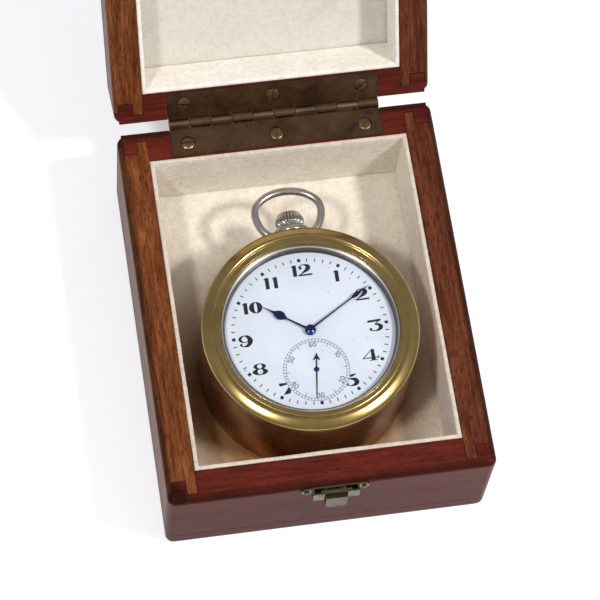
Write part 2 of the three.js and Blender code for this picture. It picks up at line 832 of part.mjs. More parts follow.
function caseBand() {
  const bottom = dialFace - backRimDepth + partGap;
  const top = dialFace;
  const dialSeat = dialRadius + partGap * 2;
  const plateSeat = plateRadius + partGap * 3;
  const ledge = plateSeat - 1;
  const band = turned([
    [caseRadius - 0.4, bottom],
    [caseRadius, bottom + 1.2],
    [caseRadius, top - 1],
    [caseRadius - 0.4, top],
    [dialSeat, top],
    [dialSeat, dialBack - partGap * 1.5],
    [plateSeat, dialBack - partGap * 1.5],
    [plateSeat, plateBack - partGap * 2],
    [ledge, plateBack - partGap * 2],
    [ledge, plateBack - 1.4],
    [caseInnerRadius, plateBack - 2],
    [caseInnerRadius, bottom],
  ]);
  const pendant = turned([
    [0, caseInnerRadius + 1],
    [neckRadius, caseInnerRadius + 1],
    [neckRadius, pendantStart],
    [pendantRadius - 0.7, pendantStart + 0.3],
    [pendantRadius, pendantStart + 1.2],
    [pendantRadius, pendantEnd - 1.4],
    [crownRadius + 0.3, pendantEnd - 0.2],
    [crownRadius - 0.2, pendantEnd],
    [0, pendantEnd],
  ], midSides, "y").translate(0, 0, stemAxis);
  const stemHole = rod("y", stemRadius + stemClearance, caseInnerRadius - 3, pendantEnd + 1, [0, stemAxis]);
  const bowHoles = [-1, 1].map((side) => {
    const from = Math.min(side * bowHoleDepth, side * (pendantRadius + 2));
    const to = Math.max(side * bowHoleDepth, side * (pendantRadius + 2));
    return rod("x", bowStudRadius + pivotClearance, from, to, [bowPivotY, stemAxis]);
  });
  return cutBy(joined(band, pendant), stemHole, ...bowHoles);
}

function caseBack() {
  const rimTop = dialFace - backRimDepth;
  const steps = [0, 0.45, 0.7, 0.85, 0.95, 1];
  const outside = steps.map((share) => {
    const radius = share * (caseRadius - 0.4);
    return [radius, backSurface(radius)];
  });
  const inside = [0.85, 0.7, 0.45, 0].map((share) => {
    const radius = share * (caseRadius - 0.4);
    return [radius, backSurface(radius) + backSheet];
  });
  return turned([...outside, [caseRadius - 0.4, rimTop], [caseInnerRadius, rimTop], ...inside]);
}

function bezel() {
  const bottom = dialFace + partGap;
  const ledge = dialFace + 1;
  return turned([
    [caseRadius - 0.3, bottom],
    [caseRadius - 0.1, bottom + 0.7],
    [caseRadius - 0.9, bezelTop - 0.6],
    [caseRadius - 1.8, bezelTop],
    [bezelOpening + 0.9, bezelTop - 0.1],
    [bezelOpening + 0.5, bezelTop - 0.6],
    [bezelOpening + 0.5, ledge],
    [bezelOpening, ledge],
    [bezelOpening, bottom],
  ]);
}

function crystal() {
  const edge = bezelOpening + 0.4;
  const seat = dialFace + 1 + partGap;
  const under = dialFace + 2.1;
  const over = under + glassThickness;
  return turned([
    [0, under],
    [edge - 1.6, under - 0.05],
    [edge - 0.9, seat],
    [edge, seat],
    [edge, bezelTop - 0.5],
    [edge - 1.1, over - 0.2],
    [edge * 0.5, over + 0.15],
    [0, over + 0.25],
  ]);
}

function dial() {
  const plate = disc(dialRadius, dialBack, dialFace, 0, 0, bigSides);
  const centreHole = disc(pipeRadius + 0.3, dialBack - 1, dialFace + 1);
  const secondsHole = disc(0.8, dialBack - 1, dialFace + 1, 0, -secondsOffset);
  return cutBy(plate, centreHole, secondsHole);
}

// Hands, drawn along Y from their own centre, at a level, and turned to the time
const pipeRadius = centreArborRadius + pivotClearance + hourPipeWall;
const secondsLevel = dialFace + 0.2;
const hourLevel = secondsLevel + handSheet + 0.35;
const minuteLevel = hourLevel + handSheet + handGap + 0.2;

function hand(outline, hub, bore, level, hubRise, angle) {
  const blade = slab(polygon(outline), level, level + handSheet);
  const boss = disc(hub, level, level + handSheet + hubRise, 0, 0, smallSides);
  const whole = cutBy(joined(blade, boss), disc(bore, level - 1, level + 2));
  return whole.rotate([0, 0, -angle]);
}

function mirrored(halfOutline) {
  const left = [...halfOutline].reverse().map(([x, y]) => [-x, y]);
  return [...halfOutline, ...left.filter(([x]) => x < 0)];
}

function hourHand() {
  const outline = mirrored([
    [0.42, 0],
    [0.33, 5.5],
    [0.42, 8.6],
    [0.8, 9.1],
    [1.2, 9.8],
    [1.25, 10.7],
    [1, 11.7],
    [0.55, 12.7],
    [0.22, 13.7],
    [0, hourHandReach],
  ]);
  return hand(outline, pipeRadius + hubWall, pipeRadius + partGap, hourLevel, 0.15, hourAngle);
}

function minuteHand() {
  const outline = mirrored([
    [0.4, 0],
    [0.27, 4],
    [0.42, 17.2],
    [0.85, 18],
    [0.98, 18.8],
    [0.8, 19.8],
    [0.3, 21.2],
    [0, minuteHandReach],
  ]);
  const bore = centreArborRadius + partGap;
  return hand(outline, pipeRadius + hubWall - 0.15, bore, minuteLevel, 0.2, minuteAngle);
}

function secondsHand() {
  const barb = secondsTailReach - 1.7;
  const outline = [
    [0.2, 0],
    [0.1, secondsHandReach],
    [-0.1, secondsHandReach],
    [-0.2, 0],
    [-0.28, -3.2],
    [-0.15, -3.5],
    [-0.15, -barb - 0.7],
    [-0.85, 0.2 - barb],
    [-1.05, -barb],
    [0, -secondsTailReach],
    [1.05, -barb],
    [0.85, 0.2 - barb],
    [0.15, -barb - 0.7],
    [0.15, -3.5],
    [0.28, -3.2],
  ].reverse();
  const made = hand(outline, 0.8, secondsPostRadius + partGap, secondsLevel, 0.1, secondsAngle);
  return made.translate(0, -secondsOffset, 0);
}

// Winding: crown, stem, and the bow with its two studs

const bowPivotY = pendantEnd - 1.4;
const bowHoleDepth = pendantRadius - 1.6;
const crownStart = pendantEnd + crownGap;

// The fluted crown with a plain rounded end, hollow for the stem's end
function crown() {
  const flutes = 18;
  const points = [];
  for (let step = 0; step < flutes * 2; step++) {
    const radius = step % 2 ? crownRadius - 0.4 : crownRadius;
    const angle = (Math.PI * step) / flutes;
    points.push([radius * Math.cos(angle), radius * Math.sin(angle)]);
  }
  const fluted = slab(polygon(points), -crownLength, 0).rotate([90, 0, 0]);
  const rounded = turned([
    [0, 0],
    [crownRadius - 0.8, 0],
    [crownRadius + 0.05, 1],
    [crownRadius + 0.05, crownLength * 0.55],
    [crownRadius - 0.6, crownLength * 0.85],
    [crownRadius - 1.8, crownLength],
    [0, crownLength],
  ], midSides, "y");
  const socket = rod("y", stemRadius + partGap, -1, stemIntoCrown + partGap);
  return cutBy(fluted.intersect(rounded), socket).translate(0, crownStart, stemAxis);
}

const stemIntoCrown = 3;
// The crown wheel stands on the stem's line, in mesh with the ratchet wheel on the barrel's arbor
const ratchetToCrownWheel = ratchetPitch + crownWheelPitch + meshGap;
const crownWheelY = barrelY + Math.sqrt(ratchetToCrownWheel ** 2 - barrelX ** 2);
const windingPinionY = crownWheelY + crownWheelPitch - 0.8;
const stemInnerEnd = windingPinionY - windingPinionLength / 2 - 1.2;

function windingStem() {
  return rod("y", stemRadius, stemInnerEnd, crownStart + stemIntoCrown, [0, stemAxis]);
}

// The bow's middle line: an egg whose ends turn in to the pendant at the studs
const bowEndX = pendantRadius + bowGap + bowWireRadius * 0.7;
const bowEndAngle = -Math.acos(bowEndX / bowHalfWidth);
const bowRiseFront = (bowPivotY - bowCentre) / Math.sin(bowEndAngle);

function bowPoint(angle) {
  const rise = Math.sin(angle) > 0 ? bowRiseBack : bowRiseFront;
  return [bowHalfWidth * Math.cos(angle), bowCentre + rise * Math.sin(angle)];
}

function bow() {
  const steps = 22;
  const middle = Array.from({ length: steps + 1 }, (_, index) => {
    const angle = bowEndAngle + ((Math.PI - 2 * bowEndAngle) * index) / steps;
    const [x, y] = bowPoint(angle);
    return new THREE.Vector3(x, y, stemAxis);
  });
  const path = new THREE.CatmullRomCurve3(middle);
  const section = polygon(arcPoints(0, 0, bowWireRadius, 0, (2 * Math.PI * 7) / 8, 7));
  const wire = solidOf(new THREE.ExtrudeGeometry(section, { extrudePath: path, steps }));
  const studs = [-1, 1].map((side) => {
    const from = Math.min(side * (bowHoleDepth + 0.2), side * (bowEndX + 0.4));
    const to = Math.max(side * (bowHoleDepth + 0.2), side * (bowEndX + 0.4));
    return rod("x", bowStudRadius, from, to, [bowPivotY, stemAxis]);
  });
  return joined(wire, ...studs);
}

// Movement: the motion work under the dial and the pallets

const minuteAngleOnPlate = THREE.MathUtils.degToRad(60);
const minuteX = minuteDistance * Math.cos(minuteAngleOnPlate);
const minuteY = minuteDistance * Math.sin(minuteAngleOnPlate);

// The pallet arbor stands between the escape wheel and the balance staff
const palletShare = 0.47;
const palletX = escapeX + (balanceX - escapeX) * palletShare;
const palletY = escapeY + (balanceY - escapeY) * palletShare;

// Layers of the train, counted down from the plate
const layerNear = [plateBack - 1.1, plateBack - 0.3];
const layerMiddle = [plateBack - 2.3, plateBack - 1.5];
const layerFar = [plateBack - 3.6, plateBack - 2.8];
const escapeLayer = [plateBack - 2.1, plateBack - 1.7];

function pivotHole(x, y, z0, z1, radius = pivotRadius) {
  return disc(radius + pivotClearance, z0 - 1, z1 + 1, x, y);
}

function mainPlate() {
  const rimInside = plateRadius - 2;
  const plate = turned([
    [0, plateBack],
    [plateRadius, plateBack],
    [plateRadius, plateTop],
    [rimInside, plateTop],
    [rimInside, motionFloor],
    [0, motionFloor],
  ]);
  return cutBy(
    plate,
    pivotHole(0, 0, plateBack, motionFloor, centreArborRadius),
    pivotHole(0, -secondsOffset, plateBack, motionFloor, secondsPostRadius),
    pivotHole(minuteX, minuteY, plateBack, motionFloor),
    pivotHole(barrelX, barrelY, plateBack, motionFloor, 0.7),
    pivotHole(thirdX, thirdY, plateBack, motionFloor),
    pivotHole(escapeX, escapeY, plateBack, motionFloor),
    pivotHole(palletX, palletY, plateBack, motionFloor),
    pivotHole(balanceX, balanceY, plateBack, motionFloor),
  );
}

// An arbor with a pivot at each end, reaching into the bridge and the plate
function arbor(x, y, body, low = bridgeFace + 0.2, high = plateBack - 0.2, pivots = pivotRadius) {
  return joined(
    disc(body, low, high, x, y),
    disc(pivots, low - 1, high + 1.2, x, y),
  );
}

function mainspringBarrel() {
  const z0 = bridgeFace + 0.2;
  const z1 = z0 + barrelDepth;
  const drum = slab(toothedShape(barrelPitch, barrelTeeth, 0.4), z0, z0 + 0.7).translate(barrelX, barrelY, 0);
  const box = disc(barrelPitch - 0.6, z0, z1, barrelX, barrelY, midSides);
  const boss = disc(1.3, z1, plateBack - 0.2, barrelX, barrelY);
  const pivot = disc(0.7, plateBack - 0.3, plateBack + 1, barrelX, barrelY);
  const foot = disc(barrelArborRadius + 0.4, z0 - 0.1, z0, barrelX, barrelY);
  const bore = disc(barrelArborRadius + pivotClearance, z0 - 1, z1 - 0.6, barrelX, barrelY);
  return cutBy(joined(drum, box, boss, pivot, foot), bore);
}

// The ratchet wheel with the arbor that it winds, through the bridge into the barrel
function ratchetWheel() {
  const top = bridgeBack - 0.2;
  const bottom = top - windingWheelThickness;
  const teeth = toothedShape(ratchetPitch, ratchetTeeth, 0.35);
  const disk = slab(teeth, bottom, top).translate(barrelX, barrelY, 0);
  const boss = disc(1.8, bottom - 0.4, bottom, barrelX, barrelY);
  const shaft = disc(barrelArborRadius, top - 0.1, bridgeFace + 1.8, barrelX, barrelY);
  return joined(disk, boss, shaft);
}

function crownWheel() {
  const top = bridgeBack - 0.2;
  const bottom = top - windingWheelThickness;
  const rim = toothedShape(crownWheelPitch, crownWheelTeeth, 0.35);
  const disk = slab(rim, bottom, top).translate(0, crownWheelY, 0);
  const boss = disc(1.4, bottom - 0.4, bottom, 0, crownWheelY);
  const stud = disc(0.6, top - 0.1, bridgeFace - 0.2, 0, crownWheelY);
  return joined(disk, boss, stud);
}

function windingPinion() {
  const half = windingPinionLength / 2;
  const teeth = toothedShape(windingPinionPitch, windingPinionTeeth, 0.5);
  const body = slab(teeth, -half, half).rotate([90, 0, 0]);
  const bore = rod("y", stemRadius + pivotClearance, -half - 1, half + 1);
  return cutBy(body, bore).translate(0, windingPinionY, stemAxis);
}

// A foot of a bridge near its edge, at an angle in degrees
function foot(angle) {
  const reach = bridgeRadius - footInset;
  const turn = THREE.MathUtils.degToRad(angle);
  const x = reach * Math.cos(turn);
  const y = reach * Math.sin(turn);
  return disc(footRadius, bridgeFace - 0.1, plateBack - partGap, x, y);
}

function barrelBridge() {
  const start = Math.asin((bridgeSplit + splitGap) / bridgeRadius);
  const outline = polygon(arcPoints(0, 0, bridgeRadius, start, Math.PI - start, 20));
  const plate = slab(outline, bridgeBack, bridgeFace);
  const half = windingPinionPitch + meshGap;
  const y0 = windingPinionY - windingPinionLength / 2 - meshGap;
  const y1 = windingPinionY + windingPinionLength / 2 + meshGap;
  const window = block(-half, half, y0, y1, bridgeBack - 1, bridgeFace + 1);
  const feet = [foot(16), foot(164), foot(52)];
  return cutBy(
    joined(plate, ...feet),
    window,
    disc(barrelArborRadius + pivotClearance, bridgeBack - 1, bridgeFace + 1, barrelX, barrelY),
    pivotHole(0, crownWheelY, bridgeBack, bridgeFace, 0.6),
  );
}

function trainBridge() {
  const left = escapeX - 2;
  const start = 2 * Math.PI - Math.acos(left / bridgeRadius);
  const end = 2 * Math.PI + Math.asin(bridgeSplit / bridgeRadius);
  const outline = polygon([
    [-3, bridgeSplit],
    [-3, -6],
    [left, escapeY + 3],
    ...arcPoints(0, 0, bridgeRadius, start, end, 14),
  ]);
  const plate = slab(outline, bridgeBack, bridgeFace);
  const feet = [foot(-11), foot(-56), foot(-98)];
  return cutBy(
    joined(plate, ...feet),
    pivotHole(0, 0, bridgeBack, bridgeFace),
    pivotHole(thirdX, thirdY, bridgeBack, bridgeFace),
    pivotHole(0, -secondsOffset, bridgeBack, bridgeFace),
    pivotHole(escapeX, escapeY, bridgeBack, bridgeFace),
  );
}

const cockBottom = bridgeBack - 0.8;
const cockTop = cockBottom + 1.1;
const cockFootX = (plateRadius - cockFootInset) * Math.cos(THREE.MathUtils.degToRad(cockFootAngle));
const cockFootY = (plateRadius - cockFootInset) * Math.sin(THREE.MathUtils.degToRad(cockFootAngle));

function balanceCock() {
  const arm = slab(bar(cockFootX, cockFootY, 1.7, balanceX, balanceY, 2.4), cockBottom, cockTop);
  const footing = disc(1.7, cockBottom, plateBack - partGap, cockFootX, cockFootY);
  return cutBy(joined(arm, footing), pivotHole(balanceX, balanceY, cockBottom, cockTop));
}

// The centre wheel on the long arbor that carries the minute hand, with the cannon pinion's leaves
function centreWheel() {
  const disk = wheel(centreWheelPitch, centreWheelTeeth, layerNear[0], layerNear[1], 0, 0);
  const leaves = pinion(centrePinionPitch, centrePinionTeeth, layerMiddle[0] - 1, layerMiddle[1], 0, 0);
  const lower = disc(pivotRadius, bridgeFace - 0.8, layerMiddle[0], 0, 0);
  const body = disc(centreArborRadius, bridgeFace + 0.2, minuteLevel + handSheet + 0.3);
  const cannon = pinion(cannonPitch, cannonTeeth, motionFloor + 0.15, motionFloor + 0.7, 0, 0);
  return joined(disk, leaves, lower, body, cannon);
}

function thirdWheel() {
  const disk = wheel(thirdWheelPitch, thirdWheelTeeth, layerMiddle[0], layerMiddle[1], thirdX, thirdY);
  const leaves = pinion(thirdPinionPitch, thirdPinionTeeth, layerNear[0], layerNear[1], thirdX, thirdY);
  return joined(disk, leaves, arbor(thirdX, thirdY, 0.5));
}

function fourthWheel() {
  const y = -secondsOffset;
  const disk = wheel(fourthWheelPitch, fourthWheelTeeth, layerFar[0], layerFar[1], 0, y);
  const leaves = pinion(fourthPinionPitch, fourthPinionTeeth, layerMiddle[0], layerMiddle[1], 0, y);
  const post = disc(secondsPostRadius, plateBack - 0.5, secondsLevel + handSheet + 0.05, 0, y);
  return joined(disk, leaves, arbor(0, y, 0.5), post);
}

function escapeWheel() {
  const disk = wheel(escapeWheelPitch, escapeWheelTeeth, escapeLayer[0], escapeLayer[1], escapeX, escapeY, 0);
  const leaves = pinion(escapePinionPitch, escapePinionTeeth, layerFar[0], layerFar[1], escapeX, escapeY);
  return joined(disk, leaves, arbor(escapeX, escapeY, 0.4));
}

// The pallets straddle the escape wheel, and the lever ends beside the balance's roller
function palletFork() {
  const toBalance = Math.atan2(balanceY - escapeY, balanceX - escapeX);
  const toWheel = toBalance + Math.PI;
  const reach = Math.hypot(balanceX - palletX, balanceY - palletY) - rollerRadius - 0.3;
  const clear = Math.hypot(palletX - escapeX, palletY - escapeY) - escapeWheelPitch;
  const arm = 2.6;
  const lever = slab(bar(0, 0, 0.7, reach - 0.3, 0, 0.3, 4), escapeLayer[0], escapeLayer[1]);
  const pallets = [-1, 1].map((side) => {
    const angle = THREE.MathUtils.degToRad(180 + side * 80);
    const x = arm * Math.cos(angle);
    const y = arm * Math.sin(angle);
    return slab(bar(0, 0, 0.6, x, y, Math.min(0.4, clear / 2)), escapeLayer[0], escapeLayer[1]);
  });
  const flat = joined(lever, ...pallets).rotate([0, 0, THREE.MathUtils.radToDeg(toWheel) - 180]);
  const pin = joined(
    disc(0.4, escapeLayer[0] - 0.4, plateBack - 0.2),
    disc(pivotRadius, plateBack - 0.3, plateBack + 1),
  );
  return joined(flat, pin).translate(palletX, palletY, 0);
}

function balanceWheel() {
  const rimInside = balanceRadius - 0.8;
  const shape = polygon(arcPoints(0, 0, balanceRadius, 0, (2 * Math.PI * 31) / 32, 31));
  crossings(shape, 1.4, rimInside, 2, 1.3);
  const disk = slab(shape, layerFar[0], layerFar[1]).translate(balanceX, balanceY, 0);
  const roller = disc(rollerRadius, escapeLayer[0], escapeLayer[1], balanceX, balanceY);
  const staff = joined(
    disc(0.5, cockTop + 0.2, plateBack - 0.2, balanceX, balanceY),
    disc(pivotRadius, cockTop - 0.8, plateBack + 1, balanceX, balanceY),
  );
  return joined(disk, roller, staff);
}

// A flat spiral strip round the staff, between the balance and its cock
function balanceSpring() {
  const first = 1.3;
  const steps = springTurns * 14;
  const edge = (offset) => Array.from({ length: steps + 1 }, (_, index) => {
    const angle = (2 * Math.PI * springTurns * index) / steps;
    const radius = first + (springPitch * angle) / (2 * Math.PI) + offset;
    return [radius * Math.cos(angle), radius * Math.sin(angle)];
  });
  const outline = polygon([...edge(springStrip / 2), ...edge(-springStrip / 2).reverse()]);
  const z0 = cockTop + 0.3;
  return slab(outline, z0, z0 + 0.35).translate(balanceX, balanceY, 0);
}

function hourWheel() {
  const z0 = motionFloor + 0.9;
  const z1 = motionFloor + 1.45;
  const disk = slab(toothedShape(hourWheelPitch, hourWheelTeeth, 0.35), z0, z1);
  const pipe = disc(pipeRadius, z1 - 0.1, hourLevel + handSheet + 0.1, 0, 0);
  const bore = disc(centreArborRadius + pivotClearance, z0 - 1, hourLevel + 2, 0, 0);
  return cutBy(joined(disk, pipe), bore);
}

function minuteWheel() {
  const low = [motionFloor + 0.15, motionFloor + 0.7];
  const disk = wheel(minuteWheelPitch, minuteWheelTeeth, low[0], low[1], minuteX, minuteY, 0);
  const high = [low[1] - 0.05, motionFloor + 1.45];
  const leaves = pinion(minutePinionPitch, minutePinionTeeth, high[0], high[1], minuteX, minuteY);
  const pivot = disc(pivotRadius, plateBack + 0.2, low[0] + 0.1, minuteX, minuteY);
  return joined(disk, leaves, pivot);
}

// Assembly

const bodyBoards = boardSet(bottomBoard + glueLine, rim, roundedBlock(0, rim));
const lidFloor = rim + rimGap;
const lidTop = rim + lidHeight;
const lidBlock = roundedBlock(lidFloor, lidTop);
const lidBoards = boardSet(lidFloor, lidTop - topBoard - glueLine, lidBlock);
const holderPlace = [holderX, holderY, 0];

function bodyLining() {
  const outerX = innerHalfX - liningGap;
  const outerY0 = innerFront + liningGap;
  const outerY1 = innerBack - liningGap;
  const t = liningThickness;
  const z0 = floorBoardTop + glueLine;
  return cutBy(
    block(-outerX, outerX, outerY0, outerY1, z0, rim - 0.1),
    block(t - outerX, outerX - t, outerY0 + t, outerY1 - t, z0 - 1, rim + 1),
  );
}

function lidLining() {
  const outerX = innerHalfX - liningGap;
  const outerY0 = innerFront + liningGap;
  const outerY1 = innerBack - liningGap;
  const t = liningThickness;
  const ceiling = lidTop - topBoard - glueLine * 2;
  return cutBy(
    block(-outerX, outerX, outerY0, outerY1, lidFloor + 0.1, ceiling),
    block(t - outerX, outerX - t, outerY0 + t, outerY1 - t, lidFloor - 1, ceiling - t),
  );
}

function floorBoard() {
  const outerX = innerHalfX - liningGap;
  const z0 = bottomBoard + glueLine;
  const board = block(-outerX, outerX, innerFront + liningGap, innerBack - liningGap, z0, floorBoardTop);
  return cutBy(board, ...holderScrewHoles().map((hole) => hole.translate(...holderPlace)));
}

function lowerBoard() {
  const board = block(-boxWidth, boxWidth, -boxLength, boxLength, -1, bottomBoard);
  const holes = holderScrewHoles().map((hole) => hole.translate(...holderPlace));
  return cutBy(board.intersect(roundedBlock(0, rim)), ...holes);
}

function upperBoard() {
  const z0 = lidTop - topBoard;
  return block(-boxWidth, boxWidth, -boxLength, boxLength, z0, lidTop + 1).intersect(lidBlock);
}

const latchHoles = [-1, 1].map((side) => latchPin(side, partGap).translate(latchCentre, 0, 0));
const boxBackWall = cutBy(bodyBoards.back, leafMortise(-1), ...hingeScrews(-1, screwClearance));
const boxFrontWall = cutBy(bodyBoards.front, ...latchHoles);
const lidBackWall = cutBy(lidBoards.back, leafMortise(1), ...hingeScrews(1, screwClearance));
const spurHoles = strikeSpurs(partGap).map((hole) => hole.translate(latchCentre, 0, 0));
const lidFrontWall = cutBy(lidBoards.front, ...spurHoles);

const box = new THREE.Group();
box.add(
  part("box_front_wall", boxFrontWall, mahoganyEnd),
  part("box_back_wall", boxBackWall, mahoganyEnd),
  part("box_left_wall", bodyBoards.left, mahoganySide),
  part("box_right_wall", bodyBoards.right, mahoganySide),
  part("box_bottom_board", lowerBoard(), mahoganyEnd),
  part("box_wall_lining", bodyLining(), felt),
  part("box_floor_board", floorBoard(), felt),
  part("hinge_box_leaf", hingeLeaf(-1), hingeBrass),
  part("hinge_pin", hingePin(), hingeBrass),
);

// The lid's pieces keep their closed places inside a frame that turns about the hinge
const lid = new THREE.Group();
lid.position.set(0, -hingeY, -rim);
lid.add(
  part("lid_front_wall", lidFrontWall, mahoganyEnd),
  part("lid_back_wall", lidBackWall, mahoganyEnd),
  part("lid_left_wall", lidBoards.left, mahoganySide),
  part("lid_right_wall", lidBoards.right, mahoganySide),
  part("lid_top_board", upperBoard(), mahoganyEnd),
  part("lid_lining", lidLining(), felt),
  part("hinge_lid_leaf", hingeLeaf(1), hingeBrass),
  part("lid_strike", lidStrike().translate(latchCentre, 0, 0), agedBrass),
);
for (const [name, place] of hingeScrewPlaces) {
  const boxScrew = hingeScrew(-1, place, boxScrewTurns[name]);
  const lidScrew = hingeScrew(1, place, lidScrewTurns[name]);
  box.add(part("hinge_screw_box_" + name, boxScrew, hingeBrass));
  lid.add(part("hinge_screw_lid_" + name, lidScrew, hingeBrass));
}
const lidTurn = new THREE.Group();
lidTurn.position.set(0, hingeY, rim);
lidTurn.rotation.x = THREE.MathUtils.degToRad(-lidOpening);
lidTurn.add(lid);

const latch = new THREE.Group();
latch.position.set(latchCentre, 0, 0);
latch.add(
  part("latch_housing", latchHousing(), agedBrass),
  part("latch_button", latchButton(), agedBrass),
  part("latch_spring", latchSpring(), steel),
  part("latch_pin_left", latchPin(-1), agedBrass),
  part("latch_pin_right", latchPin(1), agedBrass),
);

const holder = new THREE.Group();
holder.position.set(...holderPlace);
holder.add(
  part("holder_drum", holderDrum(), agedBrass),
  part("holder_ring", holderRing(), agedBrass),
  part("holder_screw_left", holderScrew(-1), steel),
  part("holder_screw_right", holderScrew(1), steel),
);

const watch = new THREE.Group();
watch.position.set(...holderPlace);
watch.add(
  part("case_band", caseBand(), silver),
  part("case_back", caseBack(), silver),
  part("bezel", bezel(), silver),
  part("crystal", crystal(), clearGlass),
  part("dial", dial(), enamel),
  part("hour_hand", hourHand(), bluedSteel),
  part("minute_hand", minuteHand(), bluedSteel),
  part("seconds_hand", secondsHand(), bluedSteel),
  part("crown", crown(), silver),
  part("winding_stem", windingStem(), steel),
  part("bow", bow(), silver),
);

const movement = new THREE.Group();
movement.add(
  part("main_plate", mainPlate(), giltBrass),
  part("mainspring_barrel", mainspringBarrel(), giltBrass),
  part("barrel_bridge", barrelBridge(), giltBrass),
  part("train_bridge", trainBridge(), giltBrass),
  part("balance_cock", balanceCock(), giltBrass),
  part("centre_wheel", centreWheel(), giltBrass),
  part("third_wheel", thirdWheel(), giltBrass),
  part("fourth_wheel", fourthWheel(), giltBrass),
  part("escape_wheel", escapeWheel(), steel),
  part("pallet_fork", palletFork(), steel),
  part("balance_wheel", balanceWheel(), giltBrass),
  part("balance_spring", balanceSpring(), bluedSteel),
  part("hour_wheel", hourWheel(), giltBrass),
  part("minute_wheel", minuteWheel(), giltBrass),
  part("ratchet_wheel", ratchetWheel(), steel),
  part("crown_wheel", crownWheel(), steel),
  part("winding_pinion", windingPinion(), steel),
);
watch.add(movement);

const deckWatch = new THREE.Group();
deckWatch.add(box, lidTurn, latch, holder, watch);
export default deckWatch;
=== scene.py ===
"""A deck watch in its brass holder and felt-lined mahogany box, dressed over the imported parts.

Sizes in the classes are millimetres. Meshes are written in metres, in the frame's own axes: X to the
right, Y to the hinge, Z up from the box's underside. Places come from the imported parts, so that each
piece sits where the part it stands for sits.
"""
import json
import logging
import math
from dataclasses import dataclass
from enum import Enum
from typing import Callable, Iterable, Sequence

import bmesh
import bpy
from mathutils import Matrix, Vector, noise


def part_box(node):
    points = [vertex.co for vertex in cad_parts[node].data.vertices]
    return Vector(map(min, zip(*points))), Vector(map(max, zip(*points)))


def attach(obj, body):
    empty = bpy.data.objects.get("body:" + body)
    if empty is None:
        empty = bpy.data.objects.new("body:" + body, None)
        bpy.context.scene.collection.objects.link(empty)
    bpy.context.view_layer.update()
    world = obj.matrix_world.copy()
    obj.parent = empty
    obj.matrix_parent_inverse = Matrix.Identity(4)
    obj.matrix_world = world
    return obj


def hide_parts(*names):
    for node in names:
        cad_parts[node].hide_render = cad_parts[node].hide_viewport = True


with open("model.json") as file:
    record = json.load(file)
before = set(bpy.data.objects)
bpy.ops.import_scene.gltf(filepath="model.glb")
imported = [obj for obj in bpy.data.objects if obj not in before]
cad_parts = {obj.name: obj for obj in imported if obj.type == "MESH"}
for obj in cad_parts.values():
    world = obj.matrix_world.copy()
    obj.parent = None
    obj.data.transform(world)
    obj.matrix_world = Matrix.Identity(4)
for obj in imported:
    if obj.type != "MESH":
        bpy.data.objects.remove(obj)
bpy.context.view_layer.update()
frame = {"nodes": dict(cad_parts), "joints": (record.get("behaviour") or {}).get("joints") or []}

log = logging.getLogger("deck_watch")

MM = 0.001
FULL_TURN = 2 * math.pi
Point = tuple[float, float]
Triple = tuple[float, float, float]
Socket = bpy.types.NodeSocket
Tree = bpy.types.NodeTree
Piece = bpy.types.Object
Shape = bmesh.types.BMesh
Material = bpy.types.Material
Number = Socket | float


def linear(hex_colour: str) -> tuple[float, float, float, float]:
    """Turns an sRGB hex colour into the linear colour that shaders take.

    Args:
        hex_colour: Six hex digits, such as "6b2a22".

    Returns:
        Linear red, green, blue and an alpha of one.
    """
    channels = [int(hex_colour[i:i + 2], 16) / 255 for i in (0, 2, 4)]
    red, green, blue = (c / 12.92 if c <= 0.04045 else ((c + 0.055) / 1.055) ** 2.4 for c in channels)
    return red, green, blue, 1.0


def add_node(tree: Tree, kind: str, inputs: dict | None = None, **settings) -> bpy.types.Node:
    """Adds a node to a shader or geometry tree.

    Args:
        tree: The tree that gets the node.
        kind: The node's type name.
        inputs: Values or sockets for its inputs, by name or by number.
        settings: The node's own properties.

    Returns:
        The new node.
    """
    node = tree.nodes.new(kind)
    for name, value in settings.items():
        setattr(node, name, value)
    for key, value in (inputs or {}).items():
        socket = node.inputs[key]
        if isinstance(value, Socket):
            tree.links.new(value, socket)
        else:
            socket.default_value = value
    return node


class Wiring:
    """A node tree under construction, with the nodes that every tree needs."""

    tree: Tree

    def add(self, kind: str, inputs: dict | None = None, **settings) -> bpy.types.Node:
        """Adds a node to the tree."""
        return add_node(self.tree, kind, inputs, **settings)

    def worked(self, how: str, first: Number, second: Number = 0.0, third: Number = 0.0) -> Socket:
        """One step of arithmetic."""
        return self.add("ShaderNodeMath", {0: first, 1: second, 2: third}, operation=how).outputs[0]

    def times(self, first: Number, second: Number) -> Socket:
        """The product of two values."""
        return self.worked("MULTIPLY", first, second)

    def plus(self, first: Number, second: Number) -> Socket:
        """The sum of two values."""
        return self.worked("ADD", first, second)

    def minus(self, first: Number, second: Number) -> Socket:
        """The first value less the second."""
        return self.worked("SUBTRACT", first, second)

    def vector(self, x: Number, y: Number, z: Number) -> Socket:
        """Three values as a vector."""
        return self.add("ShaderNodeCombineXYZ", {0: x, 1: y, 2: z}).outputs[0]

    def parts(self, vector: Socket) -> bpy.types.bpy_prop_collection:
        """A vector's three values."""
        return self.add("ShaderNodeSeparateXYZ", {0: vector}).outputs

    def joined(self, how: str, first: Socket, second: Socket | Sequence[float]) -> Socket:
        """One step of arithmetic on two vectors."""
        return self.add("ShaderNodeVectorMath", {0: first, 1: second}, operation=how).outputs[0]


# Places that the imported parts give, in millimetres


@dataclass(frozen=True)
class Extent:
    """The lowest and highest corner of something, in millimetres."""

    low: Vector
    high: Vector

    @property
    def middle(self) -> Vector:
        """The point halfway between the corners."""
        return (self.low + self.high) / 2

    @property
    def size(self) -> Vector:
        """The lengths of the sides."""
        return self.high - self.low


def extent(node: str) -> Extent:
    """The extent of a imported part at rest."""
    low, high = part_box(node)
    return Extent(low / MM, high / MM)


